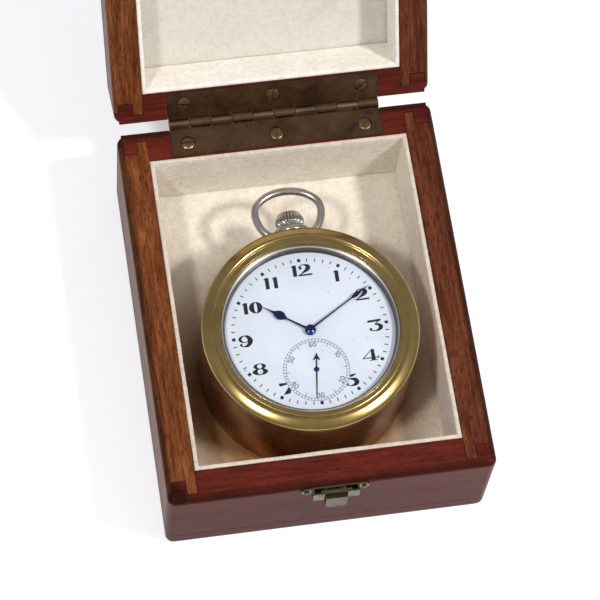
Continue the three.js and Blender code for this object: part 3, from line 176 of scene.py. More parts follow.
def joint(name: str) -> dict:
    """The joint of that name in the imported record."""
    return next(j for j in frame["joints"] if j["name"] == name)


LID_JOINT = joint("lid_hinge")
LID_AXIS = Vector(LID_JOINT["pos_m"]) / MM
LID_OPENING = math.radians(-LID_JOINT["range_deg"][0])
LID_TURN = (
    Matrix.Translation(LID_AXIS)
    @ Matrix.Rotation(LID_OPENING, 4, Vector(LID_JOINT["axis"]))
    @ Matrix.Translation(-LID_AXIS)
)


WATCH = extent("holder_drum").middle
DIAL_FACE = extent("dial").high.z
STEM_LEVEL = extent("winding_stem").middle.z


def shut_extent(node: str) -> Extent:
    """The extent of one of the lid's parts when the lid is shut, along the lid's own faces.

    Args:
        node: The part's name.

    Returns:
        Its extent in the closed pose.
    """
    back = LID_TURN.inverted()
    corners = [back @ (v.co / MM) for v in frame["nodes"][node].data.vertices]
    low = Vector([min(c[k] for c in corners) for k in range(3)])
    high = Vector([max(c[k] for c in corners) for k in range(3)])
    return Extent(low, high)


def inner_radius(node: str) -> float:
    """The radius of the innermost points of a part round the watch's axis, in millimetres."""
    points = frame["nodes"][node].data.vertices
    return min(math.hypot(v.co.x / MM - WATCH.x, v.co.y / MM - WATCH.y) for v in points)


# Meshes


class Axis(Enum):
    """The line that a turned piece stands along."""

    X = "x"
    Y = "y"
    Z = "z"


class Joining(Enum):
    """What one shape does to another."""

    ADD = "UNION"
    CUT = "DIFFERENCE"


def shift_metres(matrix: Matrix) -> Matrix:
    """A matrix for millimetres made to work on metres."""
    return Matrix.Scale(MM, 4) @ matrix @ Matrix.Scale(1 / MM, 4)


def finish_mesh(name: str, bm: Shape, sharp: float = 35.0, merge: float = 1e-4) -> Piece:
    """Writes a shape in millimetres as an object in metres, smooth up to an angle.

    Args:
        name: The piece's name.
        bm: The shape, which is freed.
        sharp: Edges sharper than this many degrees stay sharp.
        merge: Points closer than this many millimetres become one, unless it is nought.

    Returns:
        The new object, at the origin.
    """
    if merge:
        bmesh.ops.remove_doubles(bm, verts=bm.verts, dist=merge)
    bmesh.ops.recalc_face_normals(bm, faces=bm.faces)
    bmesh.ops.scale(bm, vec=(MM, MM, MM), verts=bm.verts)
    mesh = bpy.data.meshes.new(name)
    bm.to_mesh(mesh)
    bm.free()
    shade(mesh, sharp)
    piece = bpy.data.objects.new(name, mesh)
    bpy.context.scene.collection.objects.link(piece)
    return piece


def shade(mesh: bpy.types.Mesh, sharp: float) -> None:
    """Smooths a mesh's shading, apart from edges sharper than that many degrees.

    Args:
        mesh: The mesh.
        sharp: That angle.
    """
    mesh.polygons.foreach_set("use_smooth", [True] * len(mesh.polygons))
    mesh.set_sharp_from_angle(angle=math.radians(sharp))
    mesh.update()


def baked(piece: Piece, sharp: float = 35.0) -> Piece:
    """Turns a piece with modifiers into a plain mesh under the same name.

    Args:
        piece: The piece, whose modifiers are used up.
        sharp: The shading angle of the result, in degrees.

    Returns:
        The same object.
    """
    bpy.context.view_layer.update()
    evaluated = piece.evaluated_get(bpy.context.evaluated_depsgraph_get())
    mesh = bpy.data.meshes.new_from_object(evaluated)
    piece.modifiers.clear()
    old = piece.data
    piece.data = mesh
    bpy.data.meshes.remove(old)
    mesh.name = piece.name
    shade(mesh, sharp)
    return piece


def combined(piece: Piece, tool: Piece, how: Joining, sharp: float = 35.0) -> Piece:
    """Joins a tool to a piece, or cuts it out of the piece, and removes the tool.

    Args:
        piece: The piece that stays.
        tool: The shape joined or cut.
        how: Whether the tool is added or cut out.
        sharp: The shading angle of the result, in degrees.

    Returns:
        The piece with its new mesh.
    """
    step = piece.modifiers.new("shape", "BOOLEAN")
    step.operation = how.value
    step.solver = "EXACT"
    step.object = tool
    result = baked(piece, sharp)
    bpy.data.objects.remove(tool)
    return result


def softened(piece: Piece, width: float, angle: float = 35.0, steps: int = 1, sharp: float = 20.0) -> Piece:
    """Takes the sharpness off a piece's edges and keeps its flat faces flat.

    Args:
        piece: The piece.
        width: How wide the rounding is, in millimetres.
        angle: Only edges sharper than this many degrees are rounded.
        steps: How many faces the rounding has.
        sharp: The shading angle of the result, in degrees.

    Returns:
        The piece with its new mesh.
    """
    step = piece.modifiers.new("edge", "BEVEL")
    step.width = width * MM
    step.segments = steps
    step.limit_method = "ANGLE"
    step.angle_limit = math.radians(angle)
    step.use_clamp_overlap = True
    return baked(piece, sharp)


def copied(name: str, node: str, edge: float, change: Callable[[Shape], None] | None = None,
           added: Piece | None = None) -> Piece:
    """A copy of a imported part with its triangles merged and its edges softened.

    Args:
        name: The new piece's name.
        node: The part that is copied.
        edge: The rounding of its edges, in millimetres.
        change: A change to the shape before its edges are rounded.
        added: A shape that is joined to it before that.

    Returns:
        The new piece.
    """
    bm = bmesh.new()
    bm.from_mesh(frame["nodes"][node].data)
    bmesh.ops.scale(bm, vec=(1 / MM, 1 / MM, 1 / MM), verts=bm.verts)
    bmesh.ops.remove_doubles(bm, verts=bm.verts, dist=1e-3)
    bmesh.ops.dissolve_limit(bm, angle_limit=math.radians(0.5), verts=bm.verts, edges=bm.edges)
    if change:
        change(bm)
    piece = finish_mesh(name, bm)
    if added:
        piece = combined(piece, added, Joining.ADD)
    return softened(piece, edge)


def rounded(corners: Sequence[Triple], steps: int = 6) -> list[Point]:
    """A closed outline whose corners are rounded.

    Args:
        corners: For each corner its x, y and the radius of its rounding.
        steps: How many pieces each rounding has.

    Returns:
        The outline's points.
    """
    points: list[Point] = []
    count = len(corners)
    for index, (x, y, radius) in enumerate(corners):
        here = Vector((x, y))
        before = Vector(corners[index - 1][:2]) - here
        after = Vector(corners[(index + 1) % count][:2]) - here
        opening = before.angle(after, 0.0)
        if radius <= 0 or opening > math.radians(179) or opening < math.radians(1):
            points.append((x, y))
            continue
        reach = min(radius / math.tan(opening / 2), before.length * 0.49, after.length * 0.49)
        start = here + before.normalized() * reach
        end = here + after.normalized() * reach
        for step in range(steps + 1):
            t = step / steps
            p = start * (1 - t) ** 2 + here * 2 * t * (1 - t) + end * t * t
            points.append((p.x, p.y))
    return points


def arc(x: float, y: float, radius: float, start: float, end: float, steps: int) -> list[Point]:
    """Points along an arc, with its angles in degrees."""
    angles = [math.radians(start + (end - start) * i / steps) for i in range(steps + 1)]
    return [(x + radius * math.cos(a), y + radius * math.sin(a)) for a in angles]


def skin(bm: Shape, rings: Sequence[Sequence[bmesh.types.BMVert]], closed: bool = False) -> None:
    """Joins rings of as many points each with faces.

    Args:
        bm: The shape that gets the faces.
        rings: The rings, in order.
        closed: Whether the last ring is joined to the first.
    """
    for first, second in zip(rings, list(rings[1:]) + ([rings[0]] if closed else [])):
        for i in range(len(first)):
            j = (i + 1) % len(first)
            bm.faces.new((first[i], first[j], second[j], second[i]))


def turned(profile: Sequence[Point], centre: Sequence[float], axis: Axis = Axis.Z, steps: int = 160) -> Shape:
    """A turned shape.

    Args:
        profile: Pairs of radius and height along the axis, a closed outline.
        centre: A point on the axis, where the height is zero.
        axis: The direction of the axis.
        steps: How many faces go round.

    Returns:
        The shape, in millimetres.
    """
    bm = bmesh.new()
    rings = []
    for radius, height in profile:
        ring = []
        for i in range(steps):
            a = FULL_TURN * i / steps
            x, y = radius * math.cos(a), radius * math.sin(a)
            local = {Axis.X: (height, x, y), Axis.Y: (x, height, -y), Axis.Z: (x, y, height)}[axis]
            ring.append(bm.verts.new([c + v for c, v in zip(centre, local)]))
            if radius < 1e-6:
                break
        rings.append(ring)
    for first, second in zip(rings, rings[1:] + rings[:1]):
        for i in range(steps):
            j = (i + 1) % steps
            if len(first) == 1 and len(second) == 1:
                break
            if len(first) == 1:
                bm.faces.new((first[0], second[i], second[j]))
            elif len(second) == 1:
                bm.faces.new((first[i], first[j], second[0]))
            else:
                bm.faces.new((first[i], first[j], second[j], second[i]))
    return bm


def lathed(name: str, profile: Sequence[Point], steps: int = 160, drop: float = 0.0) -> Piece:
    """A piece turned round an upright axis of the watch.

    Args:
        name: The piece's name.
        profile: Pairs of radius and level, a closed outline.
        steps: How many faces go round.
        drop: How far the axis lies below the dial's centre.

    Returns:
        The new piece.
    """
    return finish_mesh(name, turned(profile, (WATCH.x, WATCH.y - drop, 0), steps=steps))


def prism(outline: Sequence[Point], low: float, high: float, bm: Shape | None = None) -> Shape:
    """A flat outline with thickness.

    Args:
        outline: The outline's points, in order.
        low: The level of its underside.
        high: The level of its top.
        bm: A shape that it is added to, or a new one.

    Returns:
        The shape, in millimetres.
    """
    bm = bm or bmesh.new()
    rings = [[bm.verts.new((x, y, level)) for x, y in outline] for level in (low, high)]
    skin(bm, rings)
    bm.faces.new(reversed(rings[0]))
    bm.faces.new(rings[1])
    return bm


def block(low: Sequence[float], high: Sequence[float], bm: Shape | None = None) -> Shape:
    """A rectangular block between two corners, in millimetres."""
    outline = [(low[0], low[1]), (high[0], low[1]), (high[0], high[1]), (low[0], high[1])]
    return prism(outline, low[2], high[2], bm)


def moved(bm: Shape, matrix: Matrix) -> Shape:
    """The same shape after a turn or a shift."""
    bm.transform(matrix)
    return bm


def on_watch(x: float = 0.0, y: float = 0.0) -> Matrix:
    """A shift from the watch's own axis to the frame, in millimetres."""
    return Matrix.Translation((WATCH.x + x, WATCH.y + y, 0))


# Repeated shapes, made with Geometry Nodes


class Kind(Enum):
    """The socket types of a geometry tree's inputs."""

    WHOLE = "NodeSocketInt"
    NUMBER = "NodeSocketFloat"
    VECTOR = "NodeSocketVector"
    MATERIAL = "NodeSocketMaterial"


class Growth(Wiring):
    """A Geometry Nodes tree that turns a piece's own mesh into the finished shape."""

    def __init__(self, name: str, inputs: dict[Kind, Sequence[str]]) -> None:
        """Starts a tree with one geometry input, the named inputs and one geometry output.

        Args:
            name: The tree's name.
            inputs: The inputs' names, by kind.
        """
        self.tree = bpy.data.node_groups.new(name, "GeometryNodeTree")
        face = self.tree.interface
        face.new_socket(name="Geometry", in_out="INPUT", socket_type="NodeSocketGeometry")
        for kind, labels in {**inputs, Kind.MATERIAL: ["Material"]}.items():
            for label in labels:
                face.new_socket(name=label, in_out="INPUT", socket_type=kind.value)
        face.new_socket(name="Geometry", in_out="OUTPUT", socket_type="NodeSocketGeometry")
        self.start = self.add("NodeGroupInput").outputs

    def end(self, geometry: Socket) -> None:
        """Realizes the copies, gives them their material and closes the tree.

        Args:
            geometry: What the tree has made.
        """
        real = self.add("GeometryNodeRealizeInstances", {"Geometry": geometry}).outputs[0]
        done = self.add("GeometryNodeSetMaterial", {"Geometry": real, "Material": self.start["Material"]})
        self.add("NodeGroupOutput", {0: done.outputs[0]})

    def grow(self, piece: Piece, values: dict[str, object], sharp: float = 35.0) -> Piece:
        """Runs the tree on a piece and keeps the result as its mesh.

        Args:
            piece: The piece whose own mesh is the pattern.
            values: A value for each named input.
            sharp: The shading angle of the result, in degrees.

        Returns:
            The piece.
        """
        step = piece.modifiers.new("growth", "NODES")
        step.node_group = self.tree
        for item in self.tree.interface.items_tree:
            if item.in_out == "INPUT" and item.name in values:
                step[item.identifier] = values[item.name]
        return baked(piece, sharp)


def copies_on_points(growth: Growth, place: Socket, turn: Socket, scale: Socket | None = None) -> Socket:
    """Puts the piece's mesh on Count points.

    Args:
        growth: The tree.
        place: Each point's place.
        turn: Each copy's turn about Z, in radians.
        scale: Each copy's scale, if it changes.

    Returns:
        The copies.
    """
    points = growth.add("GeometryNodePoints", {"Count": growth.start["Count"], "Position": place})
    spin = growth.add("FunctionNodeEulerToRotation", {0: growth.vector(0.0, 0.0, turn)})
    inputs = {"Points": points.outputs[0], "Instance": growth.start["Geometry"], "Rotation": spin.outputs[0]}
    if scale:
        inputs["Scale"] = scale
    return growth.add("GeometryNodeInstanceOnPoints", inputs).outputs[0]


def tick_ring() -> Growth:
    """The tree for marks on a circle, of which every few are longer and wider.

    Returns:
        The tree.
    """
    g = Growth("tick_ring", {Kind.WHOLE: ["Count"], Kind.VECTOR: ["Centre"], Kind.NUMBER: [
        "Radius", "Width", "Length", "Every", "Phase", "Long Width", "Long Length", "Long Shift"]})
    index = g.add("GeometryNodeInputIndex").outputs[0]
    angle = g.worked("DIVIDE", g.times(index, FULL_TURN), g.start["Count"])
    is_long = g.worked("COMPARE", g.worked("MODULO", index, g.start["Every"]), g.start["Phase"], 0.1)
    radius = g.worked("MULTIPLY_ADD", is_long, g.start["Long Shift"], g.start["Radius"])
    x = g.times(g.worked("SINE", angle), radius)
    y = g.times(g.worked("COSINE", angle), radius)
    place = g.joined("ADD", g.vector(x, y, 0.0), g.start["Centre"])
    more_wide = g.minus(g.start["Long Width"], g.start["Width"])
    more_long = g.minus(g.start["Long Length"], g.start["Length"])
    wide = g.worked("MULTIPLY_ADD", is_long, more_wide, g.start["Width"])
    long = g.worked("MULTIPLY_ADD", is_long, more_long, g.start["Length"])
    turn = g.times(angle, -1.0)
    g.end(copies_on_points(g, place, turn, g.vector(wide, long, 1.0)))
    return g


def screw_row() -> Growth:
    """The tree for three screws in a row, each with its slot turned as it was left.

    Returns:
        The tree.
    """
    turns = ["First Turn", "Second Turn", "Third Turn"]
    g = Growth("screw_row", {Kind.WHOLE: ["Count"], Kind.VECTOR: ["Start"], Kind.NUMBER: ["Pitch", *turns]})
    index = g.add("GeometryNodeInputIndex").outputs[0]
    along = g.vector(g.times(index, g.start["Pitch"]), 0.0, 0.0)
    place = g.joined("ADD", along, g.start["Start"])
    turn: Number = 0.0
    for number, label in enumerate(turns):
        is_this = g.worked("COMPARE", index, float(number), 0.1)
        turn = g.worked("MULTIPLY_ADD", is_this, g.start[label], turn)
    g.end(copies_on_points(g, place, turn))
    return g


def flutes() -> Growth:
    """The tree that presses flutes into a knob that stands along Y.

    Returns:
        The tree.
    """
    g = Growth("flutes", {
        Kind.VECTOR: ["Centre"], Kind.NUMBER: ["Flutes", "Depth", "Start", "End", "Fade"]})
    here = g.add("GeometryNodeInputPosition").outputs[0]
    x, y, z = g.parts(g.joined("SUBTRACT", here, g.start["Centre"]))
    angle = g.worked("ARCTAN2", z, x)
    half = g.times(angle, g.times(g.start["Flutes"], 0.5))
    wave = g.minus(1.0, g.worked("ABSOLUTE", g.worked("SINE", half)))
    from_start = g.worked("DIVIDE", g.minus(y, g.start["Start"]), g.start["Fade"])
    from_end = g.worked("DIVIDE", g.minus(g.start["End"], y), g.start["Fade"])
    share = g.worked("MINIMUM", g.worked("MINIMUM", from_start, from_end), 1.0)
    depth = g.times(g.times(wave, g.worked("MAXIMUM", share, 0.0)), g.times(g.start["Depth"], -1.0))
    out = g.add("ShaderNodeVectorMath", {0: g.vector(x, 0.0, z)}, operation="NORMALIZE").outputs[0]
    push = g.add("ShaderNodeVectorMath", {0: out, "Scale": depth}, operation="SCALE").outputs[0]
    g.end(g.add("GeometryNodeSetPosition", {"Geometry": g.start["Geometry"], "Offset": push}).outputs[0])
    return g


# Finishes


# The radius, in metres, at which a pattern that runs round an axis has its true length
LATHE_RADIUS = 0.03


class Shader(Wiring):
    """A material under construction: its tree, its surface node and the nodes most patterns need."""

    def __init__(self, name: str) -> None:
        """Starts a material of that name with an empty tree.

        Args:
            name: The material's name.
        """
        self.material = bpy.data.materials.new(name)
        self.material.use_nodes = True
        self.tree = self.material.node_tree
        self.tree.nodes.clear()
        self.surface = self.add("ShaderNodeBsdfPrincipled")
        self.output = self.add("ShaderNodeOutputMaterial", {"Surface": self.surface.outputs[0]})
        self.place = self.add("ShaderNodeTexCoord").outputs["Object"]

    def plain(self, **values: float | tuple) -> None:
        """Sets the surface's own sockets; an underscore in a name stands for a space."""
        for name, value in values.items():
            self.surface.inputs[name.replace("_", " ")].default_value = value

    def link(self, socket: Socket, name: str) -> None:
        """Leads a socket to one of the surface's inputs."""
        self.tree.links.new(socket, self.surface.inputs[name])

    def placed(self, scale: Sequence[float] = (1, 1, 1), turn: Sequence[float] = (0, 0, 0),
               start: Socket | None = None) -> Socket:
        """The piece's own coordinates, turned and scaled.

        Args:
            scale: The stretch along each axis.
            turn: The turn about each axis, in radians.
            start: Coordinates to begin with, or the piece's own.

        Returns:
            The new coordinates.
        """
        inputs = {"Vector": start or self.place, "Scale": scale, "Rotation": turn}
        return self.add("ShaderNodeMapping", inputs).outputs[0]

    def distance(self, x: float, y: float) -> Socket:
        """The distance in plan from a point given in millimetres.

        Args:
            x: The point's place to the right.
            y: Its place towards the hinge.

        Returns:
            The distance, in metres.
        """
        flat = self.placed(scale=(1, 1, 0))
        arm = self.add("ShaderNodeVectorMath", {0: flat, 1: (x * MM, y * MM, 0)}, operation="DISTANCE")
        return arm.outputs["Value"]

    def speckle(self, size: float, place: Socket | None = None, detail: float = 3.0,
                roughness: float = 0.5, distortion: float = 0.0) -> Socket:
        """Cloudy noise, from nought to one.

        Args:
            size: How wide one cloud is, in millimetres.
            place: The coordinates it lies in, or the piece's own.
            detail: How many finer layers it has.
            roughness: How strong those layers are.
            distortion: How much it is stirred.

        Returns:
            The noise's value.
        """
        node = self.add("ShaderNodeTexNoise", {
            "Vector": place or self.place, "Scale": 1 / (size * MM), "Detail": detail,
            "Roughness": roughness, "Distortion": distortion})
        return node.outputs[0]

    def round_axis(self, axis: Point, stretch: float) -> Socket:
        """Coordinates that run round an upright axis.

        Args:
            axis: The axis' place, in millimetres.
            stretch: How much the pattern is drawn out round the axis.

        Returns:
            The distance from the axis, the shortened way round it, and the height.
        """
        x, y, z = self.parts(self.joined("SUBTRACT", self.place, (axis[0] * MM, axis[1] * MM, 0)))
        squares = self.plus(self.times(x, x), self.times(y, y))
        flat = self.worked("SQRT", squares)
        angle = self.worked("ARCTAN2", x, self.times(y, -1.0))
        way = self.times(angle, LATHE_RADIUS * stretch)
        return self.vector(flat, way, z)

    def ramp(self, value: Socket, stops: Sequence[tuple[float, str]]) -> Socket:
        """A colour for each value, from sRGB hex stops.

        Args:
            value: The value.
            stops: Values and their colours, in order.

        Returns:
            The colour.
        """
        node = self.add("ShaderNodeValToRGB", {"Fac": value})
        elements = node.color_ramp.elements
        while len(elements) < len(stops):
            elements.new(0.5)
        for element, (position, colour) in zip(elements, stops):
            element.position = position
            element.color = linear(colour)
        return node.outputs[0]

    def span(self, value: Socket, low: float, high: float, to_low: float = 0.0,
             to_high: float = 1.0) -> Socket:
        """A value's range from low to high, stretched to another range and held inside it.

        Args:
            value: The value.
            low: The value that gives to_low.
            high: The value that gives to_high.
            to_low: The new range's one end.
            to_high: Its other end.

        Returns:
            The new value.
        """
        node = self.add("ShaderNodeMapRange", {
            "Value": value, "From Min": low, "From Max": high, "To Min": to_low, "To Max": to_high})
        return node.outputs[0]

    def mixed(self, share: Number, first: Socket | str, second: Socket | str, how: str = "MIX") -> Socket:
        """Two colours mixed by a share; a hex string stands for a plain colour.

        Args:
            share: The share of the second.
            first: The first colour.
            second: The second colour.
            how: The way of mixing.

        Returns:
            The mixed colour.
        """
        node = self.add("ShaderNodeMix", {0: share}, data_type="RGBA", blend_type=how)
        for key, value in ((6, first), (7, second)):
            if isinstance(value, Socket):
                self.tree.links.new(value, node.inputs[key])
            else:
                node.inputs[key].default_value = linear(value)
        return node.outputs[2]

    def bump(self, height: Socket, depth: float) -> Socket:
        """A normal bumped by a pattern from nought to one, as deep as that many millimetres."""
        inputs = {"Height": height, "Distance": depth * MM, "Strength": 1.0}
        return self.add("ShaderNodeBump", inputs).outputs[0]


class Grain(Enum):
    """Which way a board's grain runs."""

    ACROSS = (1 / 14, 1.0, 1.0)
    ALONG = (1.0, 1 / 14, 1.0)


@dataclass(frozen=True)
class Mahogany:
    """French-polished mahogany: the grain shows as streaks and fine dark pores under a soft gloss.

    Attributes:
        corners: Corners that are dark with old finish and handling, as x, y and the share of darkness.
        outside: Half the width and length of the box and the level of its rim, for a line of painted shade
            along the rounded outer edge, or None for no such line.
        corner_reach: How far from a corner its darkness starts to fade and where it ends.
        corner_depth: How far below the rim the corners' darkness ends and starts to fade.
    """

    name: str
    grain: Grain
    dark: str
    middle: str
    light: str
    turn: float = 0.0
    streak: float = 1.3
    pore: float = 0.36
    swirl: float = 0.22
    contrast: float = 0.72
    pore_depth: Point = (0.5, 0.85)
    corners: tuple[Triple, ...] = ()
    outside: Triple | None = None
    edge_reach: Point = (1.3, 2.5)
    edge_dark: float = 0.62
    corner_reach: Point = (5.5, 8.5)
    corner_depth: Point = (3.0, 1.0)
    polish: str = "1c0f0c"

    def handled(self, s: Shader, wide: float, long: float, high: float) -> Socket:
        """The share of dark finish in the corners and of painted shade along the outer edge.

        Args:
            s: The material's shader.
            wide: Half the box's width.
            long: Half its length.
            high: The level of its rim.

        Returns:
            The share.
        """
        x, y, z = s.parts(s.place)
        off_side = s.minus(wide * MM, s.worked("ABSOLUTE", x))
        off_end = s.minus(long * MM, s.worked("ABSOLUTE", y))
        off = s.plus(s.worked("MINIMUM", off_side, off_end), s.minus(high * MM, z))
        # Painted shade along the rounded outer edge
        share = s.span(off, self.edge_reach[0] * MM, self.edge_reach[1] * MM, self.edge_dark, 0.0)
        start, end = (reach * MM for reach in self.corner_reach)
        low, top = ((high - depth) * MM for depth in self.corner_depth)
        for cx, cy, most in self.corners:
            near = s.times(s.span(s.distance(cx, cy), start, end, most, 0.0), s.span(z, low, top))
            share = s.worked("MAXIMUM", share, near)
        return share

    def material(self) -> Material:
        """Makes the material.

        Returns:
            The material.
        """
        s = Shader(self.name)
        upright = s.placed(turn=(self.turn, 0, 0))
        along = s.placed(scale=self.grain.value, start=upright)
        figure = s.speckle(self.streak, along, detail=5, roughness=0.66, distortion=0.5)
        cloud = s.speckle(11, along, detail=2)
        swirl = s.speckle(5, s.placed(scale=tuple(v ** 0.4 for v in self.grain.value), start=upright),
                          detail=4, roughness=0.6, distortion=1.6)
        tone = s.plus(s.times(figure, 0.5), s.times(cloud, 0.28))
        tone = s.plus(tone, s.times(swirl, self.swirl))
        wide = 0.1 / self.contrast
        wood = s.ramp(tone, [(0.5 - wide, self.dark), (0.5, self.middle), (0.5 + wide, self.light)])
        # The pores of real mahogany are a quarter of a millimetre wide; drawn at nearly twice that to show
        short = s.placed(scale=tuple(v ** 0.75 for v in self.grain.value), start=upright)
        pores = s.span(s.speckle(self.pore, short, detail=1, roughness=0.4), 0.56, 0.68)
        share = s.times(pores, s.span(cloud, 0.35, 0.65, *self.pore_depth))
        colour = s.mixed(share, wood, self.dark)
        # Dark corners, and a line of painted shade along the outer edge
        if self.outside:
            colour = s.mixed(self.handled(s, *self.outside), colour, self.polish)
        s.link(colour, "Base Color")
        s.link(s.span(figure, 0.3, 0.7, 0.26, 0.4), "Roughness")
        s.link(s.bump(pores, -0.04), "Normal")
        s.plain(Specular_IOR_Level=0.03)
        return s.material


@dataclass(frozen=True)
class Felt:
    """Cream wool felt: matt and fuzzy, a little soiled, darker just below an edge, and with painted shade
    round the holder.

    Attributes:
        worn_round: The middle of the painted brown shade and warm brass reflection round the holder, if there
            is one.
        worn_reach: How far from there the painted shade starts to fade and where it ends.
        handled: The level of an edge below which the felt is darker, if there is one.
        handled_depth: How far below that edge it is darker.
    """

    name: str
    pale: str
    deep: str
    stain: str = "a07a48"
    soiling: float = 0.2
    worn_round: Point | None = None
    worn_reach: Point = (34.0, 53.0)
    handled: float | None = None
    handled_depth: float = 0.7
    pile: float = 0.3

    def material(self) -> Material:
        """Makes the material.

        Returns:
            The material.
        """
        s = Shader(self.name)
        mottle = s.speckle(14, detail=4, roughness=0.6)
        # Real fibres are 0.02 mm thick; the tufts they felt into are about half a millimetre wide
        tufts = s.speckle(0.7, detail=5, roughness=0.8)
        clumps = s.speckle(1.9, detail=4, roughness=0.7)
        fuzz = s.plus(s.times(tufts, 0.5), s.times(clumps, 0.35))
        pile = s.plus(fuzz, s.times(mottle, 0.15))
        cloth = s.ramp(pile, [(0.4, self.deep), (0.56, self.pale)])
        marks = s.span(s.speckle(24, detail=2, roughness=0.5, distortion=1.2), 0.62, 0.82)
        marks = s.times(marks, self.soiling)
        # Painted shade and warm brass reflection on the felt round the holder, ragged at its edge
        if self.worn_round:
            near, far = self.worn_reach
            ragged = s.plus(s.distance(*self.worn_round), s.times(mottle, 6 * MM))
            marks = s.worked("MAXIMUM", marks, s.span(ragged, near * MM, far * MM, 0.95, 0.0))
        # Darker just below the given edge
        if self.handled:
            low = self.handled - self.handled_depth
            rim_darkening = s.span(s.parts(s.place)[2], low * MM, self.handled * MM, 0, 0.3)
            marks = s.plus(marks, rim_darkening)
        s.link(s.mixed(marks, cloth, self.stain, "MULTIPLY"), "Base Color")
        s.link(s.bump(tufts, self.pile), "Normal")
        s.plain(Roughness=0.95, Sheen_Weight=0.3, Sheen_Roughness=0.5, Specular_IOR_Level=0.15)
        return s.material


@dataclass(frozen=True)
class AgedBrass:
    """Old brass: yellow metal dulled to olive and brown in uneven clouds.

    Attributes:
        axis: The place of the lathe's axis, for metal with fine turning lines.
        lacquer: How much old clear lacquer lies over it, which turns its gleams pale.
        uneven: How much rougher its dull clouds are.
    """

    name: str
    bright: str
    dull: str
    spot: str
    shine: float = 0.3
    patina: float = 0.3
    cloud: float = 2.0
    axis: Point | None = None
    lacquer: float = 0.0
    uneven: float = 0.13

    def material(self) -> Material:
        """Makes the material.

        Returns:
            The material.
        """
        s = Shader(self.name)
        clouds = s.speckle(self.cloud, detail=5, roughness=0.6, distortion=0.5)
        fine = s.speckle(0.8, detail=4, roughness=0.6)
        blend = s.plus(s.times(clouds, 0.75), s.times(fine, 0.25))
        metal = s.ramp(blend, [(0.34, self.dull), (0.62, self.bright)])
        spots = s.span(fine, 0.62, 0.72)
        colour = s.mixed(s.times(spots, self.patina), metal, self.spot)
        s.link(colour, "Base Color")
        s.link(s.span(blend, 0.3, 0.7, self.shine + self.uneven, self.shine), "Roughness")
        # Turning lines are hundredths of a millimetre apart; drawn a quarter apart so that they show
        grain = s.speckle(0.25, s.round_axis(self.axis, 0.02), detail=2) if self.axis else fine
        s.link(s.bump(grain, 0.01), "Normal")
        s.plain(Metallic=1.0, Coat_Weight=self.lacquer, Coat_Roughness=0.2)
        return s.material


@dataclass(frozen=True)
class Metal:
    """A plain polished metal with faint wear that breaks up its reflections, and painted rings of highlight
    and shade round an axis if it has one.

    Attributes:
        wear: How wide the clouds of its wear are, in millimetres.
        axis: The place of the axis that its painted rings lie round.
        rings: The painted rings of highlight and shade, as their outer radii in millimetres, from the outside
            in, and their colours.
    """

    name: str
    colour: str
    worn: str
    shine: float = 0.2
    wear: float = 3.0
    axis: Point | None = None
    rings: tuple[tuple[float, str], ...] = ()

    def material(self) -> Material:
        """Makes the material.

        Returns:
            The material.
        """
        s = Shader(self.name)
        wear = s.speckle(self.wear, detail=4, roughness=0.5)
        colour = s.ramp(wear, [(0.35, self.worn), (0.6, self.colour)])
        if self.axis:
            away = s.parts(s.round_axis(self.axis, 1.0))[0]
            # Painted highlight and shade: each ring's colour fills everything inside its radius, up to the
            # next ring
            for radius, tint in self.rings:
                colour = s.mixed(s.span(away, (radius - 0.03) * MM, radius * MM, 1.0, 0.0), colour, tint)
        s.link(colour, "Base Color")
        s.link(s.span(wear, 0.3, 0.7, self.shine + 0.05, self.shine), "Roughness")
        s.plain(Metallic=1.0)
        return s.material


@dataclass(frozen=True)
class Enamel:
    """Fired white enamel: milky and glossy, with a few dark specks."""

    name: str
    white: str = "ecebed"
    shade: str = "e4e3e6"
    speck: str = "5c5f66"

    def material(self) -> Material:
        """Makes the material.

        Returns:
            The material.
        """
        s = Shader(self.name)
        milk = s.ramp(s.speckle(18, detail=2), [(0.4, self.shade), (0.6, self.white)])
        specks = s.span(s.speckle(0.9, detail=1), 0.765, 0.8)
        s.link(s.mixed(specks, milk, self.speck), "Base Color")
        s.plain(Roughness=0.12, Coat_Weight=0.6, Coat_Roughness=0.04, IOR=1.5)
        return s.material


@dataclass(frozen=True)
class Ink:
    """Black painted enamel, slightly blue and a little uneven."""

    name: str = "black_dial_enamel"
    dark: str = "07080f"
    light: str = "10131f"

    def material(self) -> Material:
        """Makes the material.

        Returns:
            The material.
        """
        s = Shader(self.name)
        wear = s.speckle(0.5, detail=3)
        s.link(s.ramp(wear, [(0.3, self.dark), (0.7, self.light)]), "Base Color")
        s.plain(Roughness=0.3)
        return s.material


@dataclass(frozen=True)
class Glass:
    """Clear watch glass: it lets the lamps through to the dial and gives a faint reflection."""

    name: str = "clear_watch_glass"
    tint: str = "fbfdff"
    bend: float = 1.5

    def material(self) -> Material:
        """Makes the material.

        Returns:
            The material.
        """
        s = Shader(self.name)
        s.tree.nodes.remove(s.surface)
        mirror = s.add("ShaderNodeBsdfGlossy", {"Color": linear("ffffff"), "Roughness": 0.02})
        clear = s.add("ShaderNodeBsdfTransparent", {"Color": linear(self.tint)})
        # The clear light isn't bent, so the inner faces would mirror all of it from low angles
        outward = s.minus(1.0, s.add("ShaderNodeNewGeometry").outputs["Backfacing"])
        share = s.times(s.add("ShaderNodeFresnel", {"IOR": self.bend}).outputs[0], outward)
        either = s.add("ShaderNodeMixShader", {0: share, 1: clear.outputs[0], 2: mirror.outputs[0]})
        s.tree.links.new(either.outputs[0], s.output.inputs["Surface"])
        return s.material


